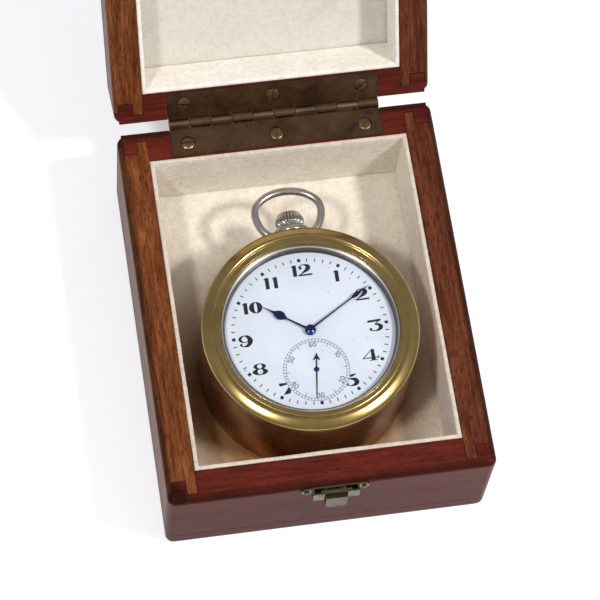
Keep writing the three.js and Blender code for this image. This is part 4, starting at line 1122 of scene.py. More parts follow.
class Finishes:
    """Every finish of the object, made once."""

    def __init__(self) -> None:
        """Makes the materials."""
        outer = extent("box_bottom_board").high
        outside = {"outside": (outer.x, outer.y, extent("box_front_wall").high.z)}
        corners = {"corners": ((-outer.x, -outer.y, 0.8), (outer.x, -outer.y, 0.4), (outer.x, outer.y, 0.4))}
        red = {"dark": "2c100c", "middle": "58221a", "light": "762d1f", "contrast": 0.5,
               "pore_depth": (0.25, 0.5)}
        brown = {"dark": "381b0f", "middle": "744023", "light": "985d38"}
        deep = {"dark": "31150e", "middle": "5c3020", "light": "78432a"}
        axis = (WATCH.x, WATCH.y)
        self.wood = {}
        for kind, grain, tones, marks in (
            ("ends", Grain.ACROSS, red, corners), ("left", Grain.ALONG, brown, {}),
            ("right", Grain.ALONG, deep, {}),
        ):
            box = Mahogany(f"polished_mahogany_{kind}", grain, **tones, **outside, **marks)
            lid = Mahogany(f"polished_mahogany_lid_{kind}", grain, **tones, turn=LID_OPENING)
            self.wood["box", kind] = box.material()
            self.wood["lid", kind] = lid.material()
        # The middle of the floor felt's painted shade round the holder
        worn = (WATCH.x - 3.5, WATCH.y - 5)
        rim = extent("box_wall_lining").high.z
        # One felt in four copies whose colours differ as painted light: the wall and lid wall copies are
        # painted lighter, the lid panel's copy painted darker
        self.wall_felt = Felt("wall_felt", "fbf3e4", "dccfb8", handled=rim).material()
        self.lid_felt = Felt("lid_wall_felt", "fffaf0", "eadfcc").material()
        self.panel_felt = Felt("lid_panel_felt", "e1dbd1", "d2cbbd", soiling=0.12).material()
        # Its brown colour marks the soiling and also paints the shade and warm brass reflection round the
        # holder
        self.floor_felt = Felt("floor_felt", "efe8da", "dbcfba", "8a602e", soiling=0.25, worn_round=worn,
                               pile=0.12).material()
        self.hinge = AgedBrass("patinated_hinge_brass", "7c6046", "46362a", "50321f",
                               shine=0.27, patina=0.4, cloud=7.0).material()
        self.hinge_screw = AgedBrass("worn_screw_brass", "8c7450", "665036", "4a3420").material()
        self.latch = AgedBrass("pale_latch_brass", "746a4b", "4c4632", "3b3724",
                               patina=0.4, cloud=2.5).material()
        self.button = AgedBrass("handled_button_brass", "4e4226", "312a19", "262113").material()
        self.drum = AgedBrass("dark_drum_brass", "b47238", "7a4a24", "7a4420",
                              shine=0.22, cloud=9.0, axis=axis, lacquer=0.3).material()
        self.ring = AgedBrass("lacquered_ring_brass", "bba066", "a0864f", "7c6539", shine=0.18,
                              patina=0.12, cloud=9.0, axis=axis, lacquer=0.04, uneven=0.05).material()
        self.silver = Metal("polished_silver", "c9c4bd", "b6b1aa").material()
        # The bezel's silver is painted tan with the brass ring's reflection; its rings paint a bright line of
        # reflection, then a grey band and a dark band of painted shade on its inner wall
        seat, opening = extent("crystal").size.x / 2, inner_radius("bezel")
        rings = ((seat + 0.72, "e6e0d8"), (seat + 0.4, "8a867e"), (opening + 0.22, "38342f"))
        self.bezel = Metal("bezel_silver_painted_light", "8c8272", "6e6456", shine=0.26, wear=9.0, axis=axis,
                           rings=rings).material()
        self.steel = Metal("bright_steel", "a9abad", "8c8e91", shine=0.22).material()
        self.gilt = Metal("matt_gilt_brass", "caa35a", "a98544", shine=0.34).material()
        self.blued = Metal("blued_steel", "273972", "1a2650").material()
        self.enamel = Enamel("white_dial_enamel").material()
        self.ink = Ink().material()
        self.thin_ink = Ink("grey_dial_enamel", "4a4e5c", "5c606e").material()
        self.glass = Glass().material()


def dress(piece: Piece, material: Material, body: str, stands_for: Sequence[str] = ()) -> None:
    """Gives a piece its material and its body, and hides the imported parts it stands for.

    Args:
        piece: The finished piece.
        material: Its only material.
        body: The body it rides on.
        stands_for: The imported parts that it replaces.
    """
    piece.data.materials.clear()
    piece.data.materials.append(material)
    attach(piece, body)
    if stands_for:
        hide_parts(*stands_for)
    log.info("%s on %s: %d faces", piece.name, body, len(piece.data.polygons))


def coat(node: str, material: Material) -> None:
    """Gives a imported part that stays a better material.

    Args:
        node: The part's name.
        material: The material.
    """
    data = frame["nodes"][node].data
    data.materials.clear()
    data.materials.append(material)
    log.info("%s keeps its shape", node)


@dataclass
class Assembly:
    """A sub-assembly, with the finishes that its pieces get."""

    finishes: Finishes

    def build(self) -> None:
        """Makes and dresses the pieces."""
        raise NotImplementedError


# The box


@dataclass
class Joinery(Assembly):
    """The boards of the box and of its lid, each a copy of its part with softened arrises."""

    arris: float = 0.22
    board_arris: float = 0.03
    edge_depth: float = 2.1
    edge_end: float = 1.4
    leaf_play: float = 0.12

    def back_edge(self, body: str) -> Piece:
        """Two strips that fill out a back wall's rim beside the hinge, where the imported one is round.

        Args:
            body: Box or lid.

        Returns:
            The strips, in place.
        """
        find = extent if body == "box" else shut_extent
        wall, leaf = find(f"{body}_back_wall"), find(f"hinge_{body}_leaf")
        depth, back = self.edge_depth, wall.high.y
        low, high = (wall.high.z - depth, wall.high.z) if body == "box" else (wall.low.z, wall.low.z + depth)
        strips = block((wall.low.x + self.edge_end, back - depth, low),
                       (leaf.low.x - self.leaf_play, back, high))
        strips = block((leaf.high.x + self.leaf_play, back - depth, low),
                       (wall.high.x - self.edge_end, back, high), strips)
        return finish_mesh("edge", strips if body == "box" else moved(strips, LID_TURN))

    def build(self) -> None:
        """Makes and dresses the ten boards."""
        for body in ("box", "lid"):
            for wall, kind in (
                ("front_wall", "ends"), ("back_wall", "ends"), ("left_wall", "left"), ("right_wall", "right"),
                ("bottom_board" if body == "box" else "top_board", "ends"),
            ):
                node = f"{body}_{wall}"
                added = self.back_edge(body) if wall == "back_wall" else None
                arris = self.board_arris if "board" in wall else self.arris
                piece = copied(f"{node}_wood", node, arris, added=added)
                dress(piece, self.finishes.wood[body, kind], body, [node])


@dataclass
class Lining(Assembly):
    """The felt on the walls, the floor and inside the lid.

    Attributes:
        lip: How deep the rounding of its edge is.
        edge_drops: How far a board's face sinks at its edge and one step in.
        face_share: The share of the thickness from which a point counts as on the face.
    """

    thickness: float = 1.3
    lip: float = 0.35
    lip_steps: int = 6
    waviness: float = 0.12
    strip_ripples: float = 0.11
    board_ripples: float = 0.09
    step: float = 2.5
    edge_drops: tuple[float, ...] = (0.5, 0.12, 0.0)
    face_share: float = 0.9

    def band(self, name: str, room: Extent, rim: float, foot: float) -> Piece:
        """A strip of felt round the four walls.

        Args:
            name: The piece's name.
            room: The outside of the strip.
            rim: The level of the edge that shows.
            foot: The level of the hidden edge.

        Returns:
            The strip, still in the place given.
        """
        inside = self.thickness
        drop = self.lip if rim > foot else -self.lip
        profile = [(0.0, foot), (0.0, rim - drop)]
        for i in range(1, self.lip_steps):
            a = math.pi * i / self.lip_steps
            profile.append((inside * (1 - math.cos(a)) / 2, rim - drop * (1 - math.sin(a))))
        rows = max(2, round(abs(rim - foot) / self.step))
        profile += [(inside, rim - drop + (foot - rim + drop) * i / rows) for i in range(rows + 1)]
        low, high = room.low, room.high
        # Each corner with the way from it into the room
        corners = [((low.x, low.y), (1, 1)), ((high.x, low.y), (-1, 1)),
                   ((high.x, high.y), (-1, -1)), ((low.x, high.y), (1, -1))]
        bm = bmesh.new()
        sections = []
        for (start, start_in), (end, end_in) in zip(corners, corners[1:] + corners[:1]):
            along = Vector((*end, 0)) - Vector((*start, 0))
            inwards = Vector((-along.y, along.x, 0)).normalized()
            count = max(4, round(along.length / self.step))
            for i in range(count):
                ring = []
                for depth, level in profile:
                    a = Vector((start[0] + start_in[0] * depth, start[1] + start_in[1] * depth, level))
                    b = Vector((end[0] + end_in[0] * depth, end[1] + end_in[1] * depth, level))
                    p = a.lerp(b, i / count)
                    if depth > inside * self.face_share:
                        p += inwards * noise.noise(p * self.strip_ripples) * self.waviness
                    ring.append(bm.verts.new(p))
                sections.append(ring)
        skin(bm, sections, closed=True)
        return finish_mesh(name, bm, 60)

    def board(self, name: str, room: Extent, face: float, back: float) -> Piece:
        """A flat piece covered with felt, gently uneven on the face that shows.

        Args:
            name: The piece's name.
            room: Its outline.
            face: The level of the face that shows.
            back: The level of the hidden face.

        Returns:
            The piece, still in the place given.
        """
        bm = bmesh.new()
        nx = round(room.size.x / self.step)
        ny = round(room.size.y / self.step)
        sign = 1 if face > back else -1
        grid = []
        for i in range(nx + 1):
            column = []
            for j in range(ny + 1):
                x = room.low.x + room.size.x * i / nx
                y = room.low.y + room.size.y * j / ny
                drop = self.edge_drops[min(i, j, nx - i, ny - j, 2)]
                bump = noise.noise(Vector((x, y, 0)) * self.board_ripples) * self.waviness
                column.append(bm.verts.new((x, y, face - sign * (drop - bump + self.waviness))))
            grid.append(column)
        for i in range(nx):
            for j in range(ny):
                bm.faces.new((grid[i][j], grid[i + 1][j], grid[i + 1][j + 1], grid[i][j + 1]))
        border = [e for e in bm.edges if e.is_boundary]
        for made in bmesh.ops.extrude_edge_only(bm, edges=border)["geom"]:
            if isinstance(made, bmesh.types.BMVert):
                made.co.z = back
        bmesh.ops.holes_fill(bm, edges=[e for e in bm.edges if e.is_boundary])
        return finish_mesh(name, bm, 60)

    def build(self) -> None:
        """Makes and dresses the felt."""
        walls = extent("box_wall_lining")
        strip = self.band("box_wall_felt", walls, walls.high.z, walls.low.z)
        dress(strip, self.finishes.wall_felt, "box", ["box_wall_lining"])

        floor = extent("box_floor_board")
        cover = self.board("box_floor_felt", floor, floor.high.z, floor.low.z)
        dress(cover, self.finishes.floor_felt, "box", ["box_floor_board"])

        lid = shut_extent("lid_lining")
        strip = self.band("lid_wall_felt", lid, lid.low.z, lid.high.z - self.thickness)
        panel = self.board("lid_panel_felt", lid, lid.high.z - self.thickness, lid.high.z)
        for piece in (strip, panel):
            piece.data.transform(shift_metres(LID_TURN))
        dress(strip, self.finishes.lid_felt, "lid", ["lid_lining"])
        dress(panel, self.finishes.panel_felt, "lid")


@dataclass
class Hinge(Assembly):
    """The long butt hinge, its knuckles, its pin and six slotted screws.

    Attributes:
        dome: The head's face, as shares of its radius, levels and roundings.
        barrel: The knuckles' packed radius.
        swell: How much fuller they are made.
    """

    edge: float = 0.12
    head: float = 2.12
    dome: tuple[Triple, ...] = (
        (0.0, 0.03, 0.0), (0.45, 0.0, 0.0), (0.8, -0.1, 0.2), (1.0, -0.26, 0.05), (1.0, -0.35, 0.0))
    rim: float = 0.25
    shank: float = 0.95
    reach: float = 6.2
    slot_width: float = 0.5
    slot_depth: float = 0.6
    box_turns: Triple = (-3.0, 86.0, 9.0)
    lid_turns: Triple = (-5.0, 79.0, 33.0)
    barrel: float = 1.65
    swell: float = 0.14

    def rolled(self, bm: Shape) -> None:
        """Lets a leaf's knuckles fill the notches of the other leaf, as rolled ones do.

        Args:
            bm: The leaf's shape.
        """
        for v in bm.verts:
            arm = Vector((0, v.co.y - LID_AXIS.y, v.co.z - LID_AXIS.z))
            if abs(arm.length - self.barrel) < 0.04:
                v.co += arm.normalized() * self.swell

    def screw(self, name: str) -> Piece:
        """One countersunk screw at the origin, its head up and its slot along X.

        Args:
            name: The piece's name.

        Returns:
            The screw.
        """
        taper_end = -self.rim - (self.head - self.shank)
        profile = rounded([(self.head * share, level, soft) for share, level, soft in self.dome] + [
            (self.shank, taper_end, 0), (self.shank, -self.reach, 0), (0, -self.reach - 0.5, 0)])
        screw = finish_mesh(name, turned(profile, (0, 0, 0), steps=48))
        wide, half = self.head + 1, self.slot_width / 2
        slot = block((-wide, -half, -self.slot_depth), (wide, half, 1))
        return combined(screw, finish_mesh("slot", slot), Joining.CUT)

    def screws(self, name: str, side: str, tree: Growth, material: Material) -> Piece:
        """The three screws of one leaf.

        Args:
            name: The piece's name.
            side: Box or lid.
            tree: The screw row tree.
            material: Their brass.

        Returns:
            The screws, in place.
        """
        of_box = side == "box"
        find = extent if of_box else shut_extent
        first, last = (find(f"hinge_screw_{side}_{place}") for place in ("left", "right"))
        top = first.high.z if of_box else first.low.z
        start = Vector((first.middle.x, first.middle.y if of_box else -first.middle.y, 0))
        one, two, three = (math.radians(turn) for turn in (self.box_turns if of_box else self.lid_turns))
        row = tree.grow(self.screw(name), {
            "Count": 3, "Start": start * MM, "Pitch": (last.middle.x - first.middle.x) / 2 * MM,
            "First Turn": one, "Second Turn": two, "Third Turn": three, "Material": material})
        level = Matrix.Translation((0, 0, top))
        if not of_box:
            level = LID_TURN @ level @ Matrix.Rotation(math.pi, 4, "X")
        row.data.transform(shift_metres(level))
        return row

    def build(self) -> None:
        """Makes and dresses the hinge."""
        tree = screw_row()
        for leaf, screws, side in (
            ("hinge_leaf_lower", "hinge_screws_lower", "box"),
            ("hinge_leaf_upper", "hinge_screws_upper", "lid"),
        ):
            node = f"hinge_{side}_leaf"
            piece = copied(leaf, node, self.edge, self.rolled)
            dress(piece, self.finishes.hinge, side, [node])
            row = self.screws(screws, side, tree, self.finishes.hinge_screw)
            dress(row, self.finishes.hinge_screw, side,
                  [f"hinge_screw_{side}_{place}" for place in ("left", "middle", "right")])
        coat("hinge_pin", self.finishes.hinge)


@dataclass
class Latch(Assembly):
    """The push-button latch on the front and the strike that it holds."""

    edge: float = 0.14
    corner: float = 1.5
    button_width: float = 6.6
    button_edge: float = 0.6
    flange_width: float = 9.1
    flange_sheet: float = 0.5
    flange_top: float = 0.3
    flange_foot: float = 4.5
    lip: Point = (1.15, 0.6)
    lip_side: float = 0.2
    lip_back: float = 0.05

    def case_lip(self) -> Piece:
        """The rolled lip along the top of the housing, in front of the hook's way in.

        Returns:
            The lip.
        """
        housing, button = extent("latch_housing"), extent("latch_button")
        reach, sheet = self.lip
        return finish_mesh("lip", block(
            (button.low.x - self.lip_side, housing.low.y + self.lip_back, housing.high.z - sheet),
            (button.high.x + self.lip_side, housing.low.y + reach, housing.high.z)))

    def button(self) -> Piece:
        """The push button, with rounded lower corners, on the flange that keeps it in the housing.

        Returns:
            The button.
        """
        box = extent("latch_button")
        x, half = box.middle.x, self.button_width / 2
        outline = rounded([
            (x - half, box.low.z, self.corner), (x + half, box.low.z, self.corner),
            (x + half, box.high.z, 0.2), (x - half, box.high.z, 0.2)])
        body = moved(prism(outline, -box.high.y, -box.low.y), Matrix.Rotation(math.pi / 2, 4, "X"))
        piece = softened(finish_mesh("latch_push_button", body), self.button_edge, 40, steps=6, sharp=5)
        half = self.flange_width / 2
        flange = block((x - half, box.high.y - self.flange_sheet, box.low.z + self.flange_foot),
                       (x + half, box.high.y, box.high.z - self.flange_top))
        return combined(piece, finish_mesh("flange", flange), Joining.ADD, 5)

    def build(self) -> None:
        """Makes and dresses the latch."""
        dress(self.button(), self.finishes.button, "latch_push", ["latch_button"])
        for name, node, body in (
            ("latch_case", "latch_housing", "box"),
            ("lid_strike_plate", "lid_strike", "lid"),
            ("latch_pin_left_head", "latch_pin_left", "box"),
            ("latch_pin_right_head", "latch_pin_right", "box"),
        ):
            added = self.case_lip() if node == "latch_housing" else None
            piece = copied(name, node, self.edge, added=added)
            dress(piece, self.finishes.latch, body, [node])
        coat("latch_spring", self.finishes.steel)


# The holder and the watch


@dataclass
class Holder(Assembly):
    """The brass drum with its slot for the pendant, and the ring over the watch's bezel.

    Attributes:
        shelf_drop: How far the shelf lies below the case back's rim.
        proud: How far the ring stands out past the drum.
        section: The ring's face from the outside in, as inset and drop: a round edge, a broad slope, a
            crest, a groove and the flat lip.
    """

    shell: float = 3.2
    wall: float = 1.6
    base: float = 1.5
    neck_step: float = 1.0
    neck_height: float = 2.35
    shelf: float = 3.1
    shelf_drop: float = 2.2
    shelf_sheet: float = 1.5
    shelf_root: float = 3.0
    edge: float = 0.3
    slot_half: float = 4.7
    proud: float = 0.15
    thread_play: float = 0.1
    bezel_play: float = 0.15
    section: tuple[Point, ...] = (
        (0.08, 4.0), (0.06, 3.2), (0.02, 2.4), (0.0, 1.9), (0.1, 1.5), (0.4, 1.12), (0.85, 0.84), (1.4, 0.58),
        (2.0, 0.32), (2.5, 0.13), (2.9, 0.02), (3.2, 0.0), (3.5, 0.1), (3.7, 0.27), (3.85, 0.45),
        (4.0, 0.52), (4.15, 0.48), (4.35, 0.4),
    )

    def drum(self) -> Piece:
        """The drum.

        Returns:
            The drum.
        """
        box = extent("holder_drum")
        outer = box.size.x / 2
        low, top = box.low.z, box.high.z
        shoulder = top - self.neck_height
        bore, neck = outer - self.shell, outer - self.neck_step
        lip, hollow = bore - self.shelf, outer - self.wall
        shelf, floor = extent("case_back").high.z - self.shelf_drop, low + self.base
        drum = lathed("holder_drum_turned", rounded([
            (0, low, 0), (outer, low, self.edge * 2), (outer, shoulder, self.edge), (neck, shoulder, 0),
            (neck, top, 0.1), (bore, top, 0.1), (bore, shelf, 0), (lip, shelf, 0),
            (lip, shelf - self.shelf_sheet, 0), (hollow, shelf - self.shelf_root, 0), (hollow, floor, 0),
            (0, floor, 0)]))
        over = top + 10
        half_round = arc(0, STEM_LEVEL, self.slot_half, 0, -180, 24)
        outline = [(self.slot_half, over)] + half_round + [(-self.slot_half, over)]
        slot = moved(prism(outline, -outer - 1, 1 - lip), on_watch() @ Matrix.Rotation(math.pi / 2, 4, "X"))
        return combined(drum, finish_mesh("slot", slot), Joining.CUT)

    def ring(self) -> Piece:
        """The ring, rounded outside, with a fine step down to its flat inner band.

        Returns:
            The ring.
        """
        box = extent("holder_ring")
        outer, top, low = box.size.x / 2, box.high.z, box.low.z
        opening = inner_radius("holder_ring")
        skirt = outer - self.proud - self.neck_step + self.thread_play
        under = extent("bezel").high.z + self.bezel_play
        lip = top - self.section[-1][1]
        profile = [(outer - inset, top - drop) for inset, drop in self.section] + rounded([
            (opening + 0.3, lip - 0.06, 0.1), (opening, lip - 0.4, 0.15), (opening, under, 0),
            (skirt, under, 0), (skirt, low, 0)])
        return lathed("holder_ring_turned", profile, 200)

    def build(self) -> None:
        """Makes and dresses the holder."""
        dress(self.drum(), self.finishes.drum, "box", ["holder_drum"])
        dress(self.ring(), self.finishes.ring, "ring", ["holder_ring"])
        for side in ("left", "right"):
            coat(f"holder_screw_{side}", self.finishes.steel)


@dataclass
class Case(Assembly):
    """The silver case: band with pendant, back, bezel, glass, crown and bow.

    Attributes:
        play: The gap between pieces that lie on each other.
        pendant_neck: The radius of the pendant's two ends.
        dome: How far the glass rises from its edge.
        seat: How far below the bezel's top the glass starts, inside and at its edge.
        flute_end: Where the crown's flutes end, as a share of its length.
        stud_start: How far from the watch's axis the bow's studs start.
    """

    play: float = 0.1
    dial_play: float = 0.2
    dial_ledge: float = 0.4
    pendant: float = 6.0
    pendant_neck: float = 4.3
    pendant_length: float = 3.6
    back_sheet: float = 0.9
    back_rim: float = 3.0
    dome: float = 1.05
    seat: Point = (0.78, 0.66)
    flutes: int = 24
    flute_depth: float = 0.8
    flute_start: float = 0.2
    flute_end: float = 0.95
    flute_fade: float = 0.7
    bow_wire: float = 1.22
    bow_rise: float = 7.0
    bow_play: float = 0.35
    stud: float = 0.7
    stud_start: float = 4.6

    def band(self) -> Piece:
        """The band with its pendant.

        Returns:
            The band.
        """
        outer = extent("bezel").size.x / 2 + self.play
        foot, top = extent("case_back").high.z + self.play, DIAL_FACE
        dial = extent("dial").size.x / 2
        seat, inner, ledge = dial + self.dial_play, dial - self.dial_ledge, extent("dial").low.z - 0.15
        band = lathed("case_band_turned", rounded([
            (outer, foot, 0.5), (outer, top, 0.4), (seat, top, 0), (seat, ledge, 0), (inner, ledge, 0),
            (inner, foot, 0)]))
        end = extent("case_band").high.y - WATCH.y
        start, neck, full = end - self.pendant_length, self.pendant_neck, self.pendant
        stem = rounded([
            (0, inner + 1, 0), (neck, inner + 1, 0), (neck, start, 0.6), (full - 0.7, start + 0.3, 0.5),
            (full, start + 1.2, 0.7), (full, end - 1.4, 1.0), (neck + 0.5, end - 0.2, 0.3),
            (neck, end, 0.1), (0, end, 0)])
        pendant = finish_mesh("pendant", turned(stem, (WATCH.x, WATCH.y, STEM_LEVEL), Axis.Y, 72))
        return combined(band, pendant, Joining.ADD)

    def back(self) -> Piece:
        """The domed back.

        Returns:
            The back.
        """
        box = extent("case_back")
        outer = box.size.x / 2
        shares = [i / 24 for i in range(25)]
        outside = [(outer * share, box.low.z + box.size.z * share ** 3) for share in shares]
        inside = [(r * 0.985, z + self.back_sheet) for r, z in outside if r < outer * 0.86]
        rim = [(outer - self.back_rim, box.high.z)]
        return lathed("case_back_pressed", outside + rim + list(reversed(inside)))

    def bezel(self) -> Piece:
        """The rounded bezel that holds the glass.

        Returns:
            The bezel.
        """
        box = extent("bezel")
        outer, top, low = box.size.x / 2, box.high.z, box.low.z
        opening = inner_radius("bezel")
        ledge = extent("crystal").size.x / 2 + self.play / 2
        return lathed("bezel_turned", rounded([
            (outer - 0.2, low, 0.1), (outer, low + 0.7, 0.5), (outer - 0.8, top - 0.6, 0.8),
            (outer - 1.5, top, 0.3), (outer - 1.9, top, 0.25), (ledge, top - 0.62, 0.1),
            (ledge, top - 0.8, 0), (opening + 0.2, top - 0.82, 0.08), (opening, low, 0.1)]), 200)

    def glass(self) -> Piece:
        """The slightly domed glass.

        Returns:
            The glass.
        """
        box = extent("crystal")
        edge, top = box.size.x / 2, box.high.z
        under, side = (extent("bezel").high.z - depth for depth in self.seat)
        shares = [1 - i / 12 for i in range(1, 13)]
        outer = [(edge * share, top - self.dome * share ** 2) for share in shares]
        return lathed("watch_glass_domed", [(0, under), (edge, under), (edge, side)] + outer, 200)

    def crown(self) -> Piece:
        """The fluted winding crown.

        Returns:
            The crown.
        """
        box = extent("crown")
        radius, length = box.size.x / 2, box.size.y
        profile = [(0, 0)] + rounded([
            (radius - 1.2, 0, 0.2), (radius - 0.1, 0.9, 0.8), (radius, length * 0.45, 1.2),
            (radius - 1.0, length * 0.84, 1.2), (radius - 2.6, length * 0.98, 0.8), (0, length, 0)], 8)
        dense = []
        for (r0, y0), (r1, y1) in zip(profile, profile[1:]):
            pieces = max(1, round(math.hypot(r1 - r0, y1 - y0) / 0.3))
            dense += [(r0 + (r1 - r0) * i / pieces, y0 + (y1 - y0) * i / pieces) for i in range(pieces)]
        dense.append(profile[-1])
        place = (WATCH.x, box.low.y, STEM_LEVEL)
        piece = finish_mesh("winding_crown_fluted", turned(dense, place, Axis.Y, self.flutes * 12))
        return flutes().grow(piece, {
            "Flutes": float(self.flutes), "Depth": self.flute_depth * MM, "Centre": Vector(place) * MM,
            "Start": self.flute_start * MM, "End": length * self.flute_end * MM,
            "Fade": self.flute_fade * MM}, 40)

    def bow(self) -> Piece:
        """The bow, an egg-shaped loop of round wire whose ends turn in to the pendant.

        Returns:
            The bow.
        """
        box = extent("bow")
        half = box.size.x / 2 - self.bow_wire
        top = box.high.y - self.bow_wire
        pivot = Vector(joint("bow_swing")["pos_m"]).y / MM
        middle = top - self.bow_rise
        end_x = self.pendant + self.bow_play + self.bow_wire * 0.7
        end_angle = -math.acos(end_x / half)
        front = (pivot - middle) / math.sin(end_angle)
        steps, sides = 96, 24
        bm = bmesh.new()
        rings = []
        centres = []
        for i in range(steps + 1):
            a = end_angle + (math.pi - 2 * end_angle) * i / steps
            rise = self.bow_rise if math.sin(a) > 0 else front
            centres.append(Vector((WATCH.x + half * math.cos(a), middle + rise * math.sin(a), STEM_LEVEL)))
        up = Vector((0, 0, 1))
        angles = [FULL_TURN * k / sides for k in range(sides)]
        for i, centre in enumerate(centres):
            side = (centres[min(steps, i + 1)] - centres[max(0, i - 1)]).normalized().cross(up)
            spots = [centre + (side * math.cos(b) + up * math.sin(b)) * self.bow_wire for b in angles]
            rings.append([bm.verts.new(spot) for spot in spots])
        skin(bm, rings)
        bm.faces.new(rings[0])
        bm.faces.new(reversed(rings[-1]))
        wire = finish_mesh("bow_wire", bm, 50)
        for side in (-1, 1):
            pin = [(0, self.stud_start), (self.stud, self.stud_start), (self.stud, end_x), (0, end_x)]
            stud = turned(pin, (WATCH.x, pivot, STEM_LEVEL), Axis.X, 24)
            if side < 0:
                stud = moved(stud, Matrix.Translation((2 * WATCH.x, 0, 0)) @ Matrix.Scale(-1, 4, (1, 0, 0)))
            wire = combined(wire, finish_mesh("stud", stud), Joining.ADD)
        wire.name = "bow_loop_wire"
        return wire

    def build(self) -> None:
        """Makes and dresses the case."""
        silver = self.finishes.silver
        dress(self.band(), silver, "watch", ["case_band"])
        dress(self.back(), silver, "watch", ["case_back"])
        dress(self.bezel(), self.finishes.bezel, "watch", ["bezel"])
        dress(self.glass(), self.finishes.glass, "watch", ["crystal"])
        dress(self.crown(), silver, "crown_and_stem", ["crown"])
        dress(self.bow(), silver, "bow_loop", ["bow"])
        coat("winding_stem", self.finishes.steel)


Stroke = tuple[Triple, ...]
Oval = tuple[float, float, float, float]


@dataclass(frozen=True)
class Figure:
    """One printed figure, drawn from the left end of its base line, in millimetres.

    Attributes:
        width: How far the next figure stands off.
        strokes: Lines of changing half width, as x, y and half width.
        plates: Flat outlines.
        balls: Filled ellipses, as x, y and the two half axes.
        rings: The outer and the inner ellipse of a bow that closes on itself.
    """

    width: float
    strokes: tuple[Stroke, ...] = ()
    plates: tuple[tuple[Point, ...], ...] = ()
    balls: tuple[Oval, ...] = ()
    rings: tuple[tuple[Oval, Oval], ...] = ()


FAT_FACE = {
    "0": Figure(4.1, rings=(((2.05, 1.87, 2.05, 1.9), (2.05, 1.87, 0.48, 1.68)),)),
    "1": Figure(1.2, plates=(
        ((0, 0), (1.2, 0), (1.2, 3.75), (0.35, 3.75), (-0.3, 3.45), (-0.3, 3.15), (0, 3.15)),)),
    "2": Figure(4.1, strokes=(
        ((0.75, 2.5, 0.3), (0.55, 3.0, 0.22), (1.2, 3.58, 0.14), (2.2, 3.6, 0.24), (3.15, 3.05, 0.66),
         (3.05, 2.3, 0.7), (2.2, 1.55, 0.42), (1.0, 0.8, 0.18), (0.3, 0.3, 0.14)),
        ((0.1, 0.26, 0.24), (2.0, 0.28, 0.27), (4.0, 0.34, 0.28))),
        balls=((0.82, 2.62, 0.45, 0.45),)),
    "3": Figure(4.3, strokes=(
        ((0.2, 3.3, 0.38), (3.7, 3.5, 0.34)), ((3.6, 3.45, 0.16), (2.0, 2.2, 0.16)),
        ((2.0, 2.2, 0.13), (3.2, 2.0, 0.42), (3.7, 1.25, 0.72), (3.1, 0.45, 0.42), (1.8, 0.12, 0.16),
         (0.6, 0.38, 0.18), (0.4, 0.7, 0.28))), balls=((0.6, 0.78, 0.4, 0.4),)),
    "4": Figure(4.9, strokes=(
        ((2.95, 3.5, 0.13), (0.05, 0.98, 0.13)), ((0.0, 0.92, 0.16), (4.9, 0.92, 0.16)),
        ((4.8, 0.75, 0.15), (4.8, 1.3, 0.15)), ((2.1, 0.12, 0.13), (4.3, 0.12, 0.13))),
        plates=(((2.55, 0), (3.85, 0), (3.7, 3.75), (2.75, 3.75)),)),
    "5": Figure(4.5, strokes=(
        ((0.9, 3.5, 0.14), (2.2, 3.35, 0.42), (3.6, 3.7, 0.16)), ((0.9, 3.5, 0.13), (0.7, 2.1, 0.13)),
        ((0.7, 2.1, 0.13), (1.8, 2.35, 0.2), (3.2, 2.0, 0.6), (3.65, 1.2, 0.76), (3.1, 0.45, 0.5),
         (1.8, 0.12, 0.16), (0.65, 0.42, 0.15))), balls=((0.72, 0.74, 0.42, 0.42),)),
    "7": Figure(4.2, plates=(
        ((0.0, 3.75), (0.15, 2.7), (2.2, 3.1), (4.2, 3.15), (4.2, 3.75)),
        ((4.2, 3.5), (2.7, 2.2), (1.0, -0.1), (3.15, 0.25), (3.5, 1.4), (4.2, 2.9)))),
    "8": Figure(4.7, rings=(
        ((2.35, 2.76, 1.9, 0.97), (2.35, 2.8, 0.74, 0.72)),
        ((2.35, 1.05, 2.35, 1.07), (2.35, 1.07, 0.86, 0.8)))),
    "9": Figure(4.6, strokes=(
        ((0.75, 0.5, 0.18), (1.5, 0.14, 0.16), (2.9, 0.5, 0.5), (3.75, 1.9, 0.74), (3.1, 3.15, 0.52),
         (2.0, 3.6, 0.16), (0.95, 3.15, 0.36), (0.6, 2.5, 0.46), (0.98, 1.85, 0.32), (1.9, 1.45, 0.14),
         (2.8, 1.75, 0.14), (3.3, 2.4, 0.14)),), balls=((0.78, 0.74, 0.42, 0.42),)),
}

# Where the hour figures stand from the dial's centre; the painter set some of them a little off
HOUR_PLACES = {
    1: (10.85, 16.95), 2: (17.4, 9.95), 3: (20.0, -0.65), 4: (16.95, -10.05), 5: (10.05, -17.4),
    7: (-9.95, -17.6), 8: (-16.95, -10.4), 9: (-19.9, -0.85), 10: (-16.15, 9.65), 11: (-9.4, 17.05),
    12: (0.5, 20.1),
}

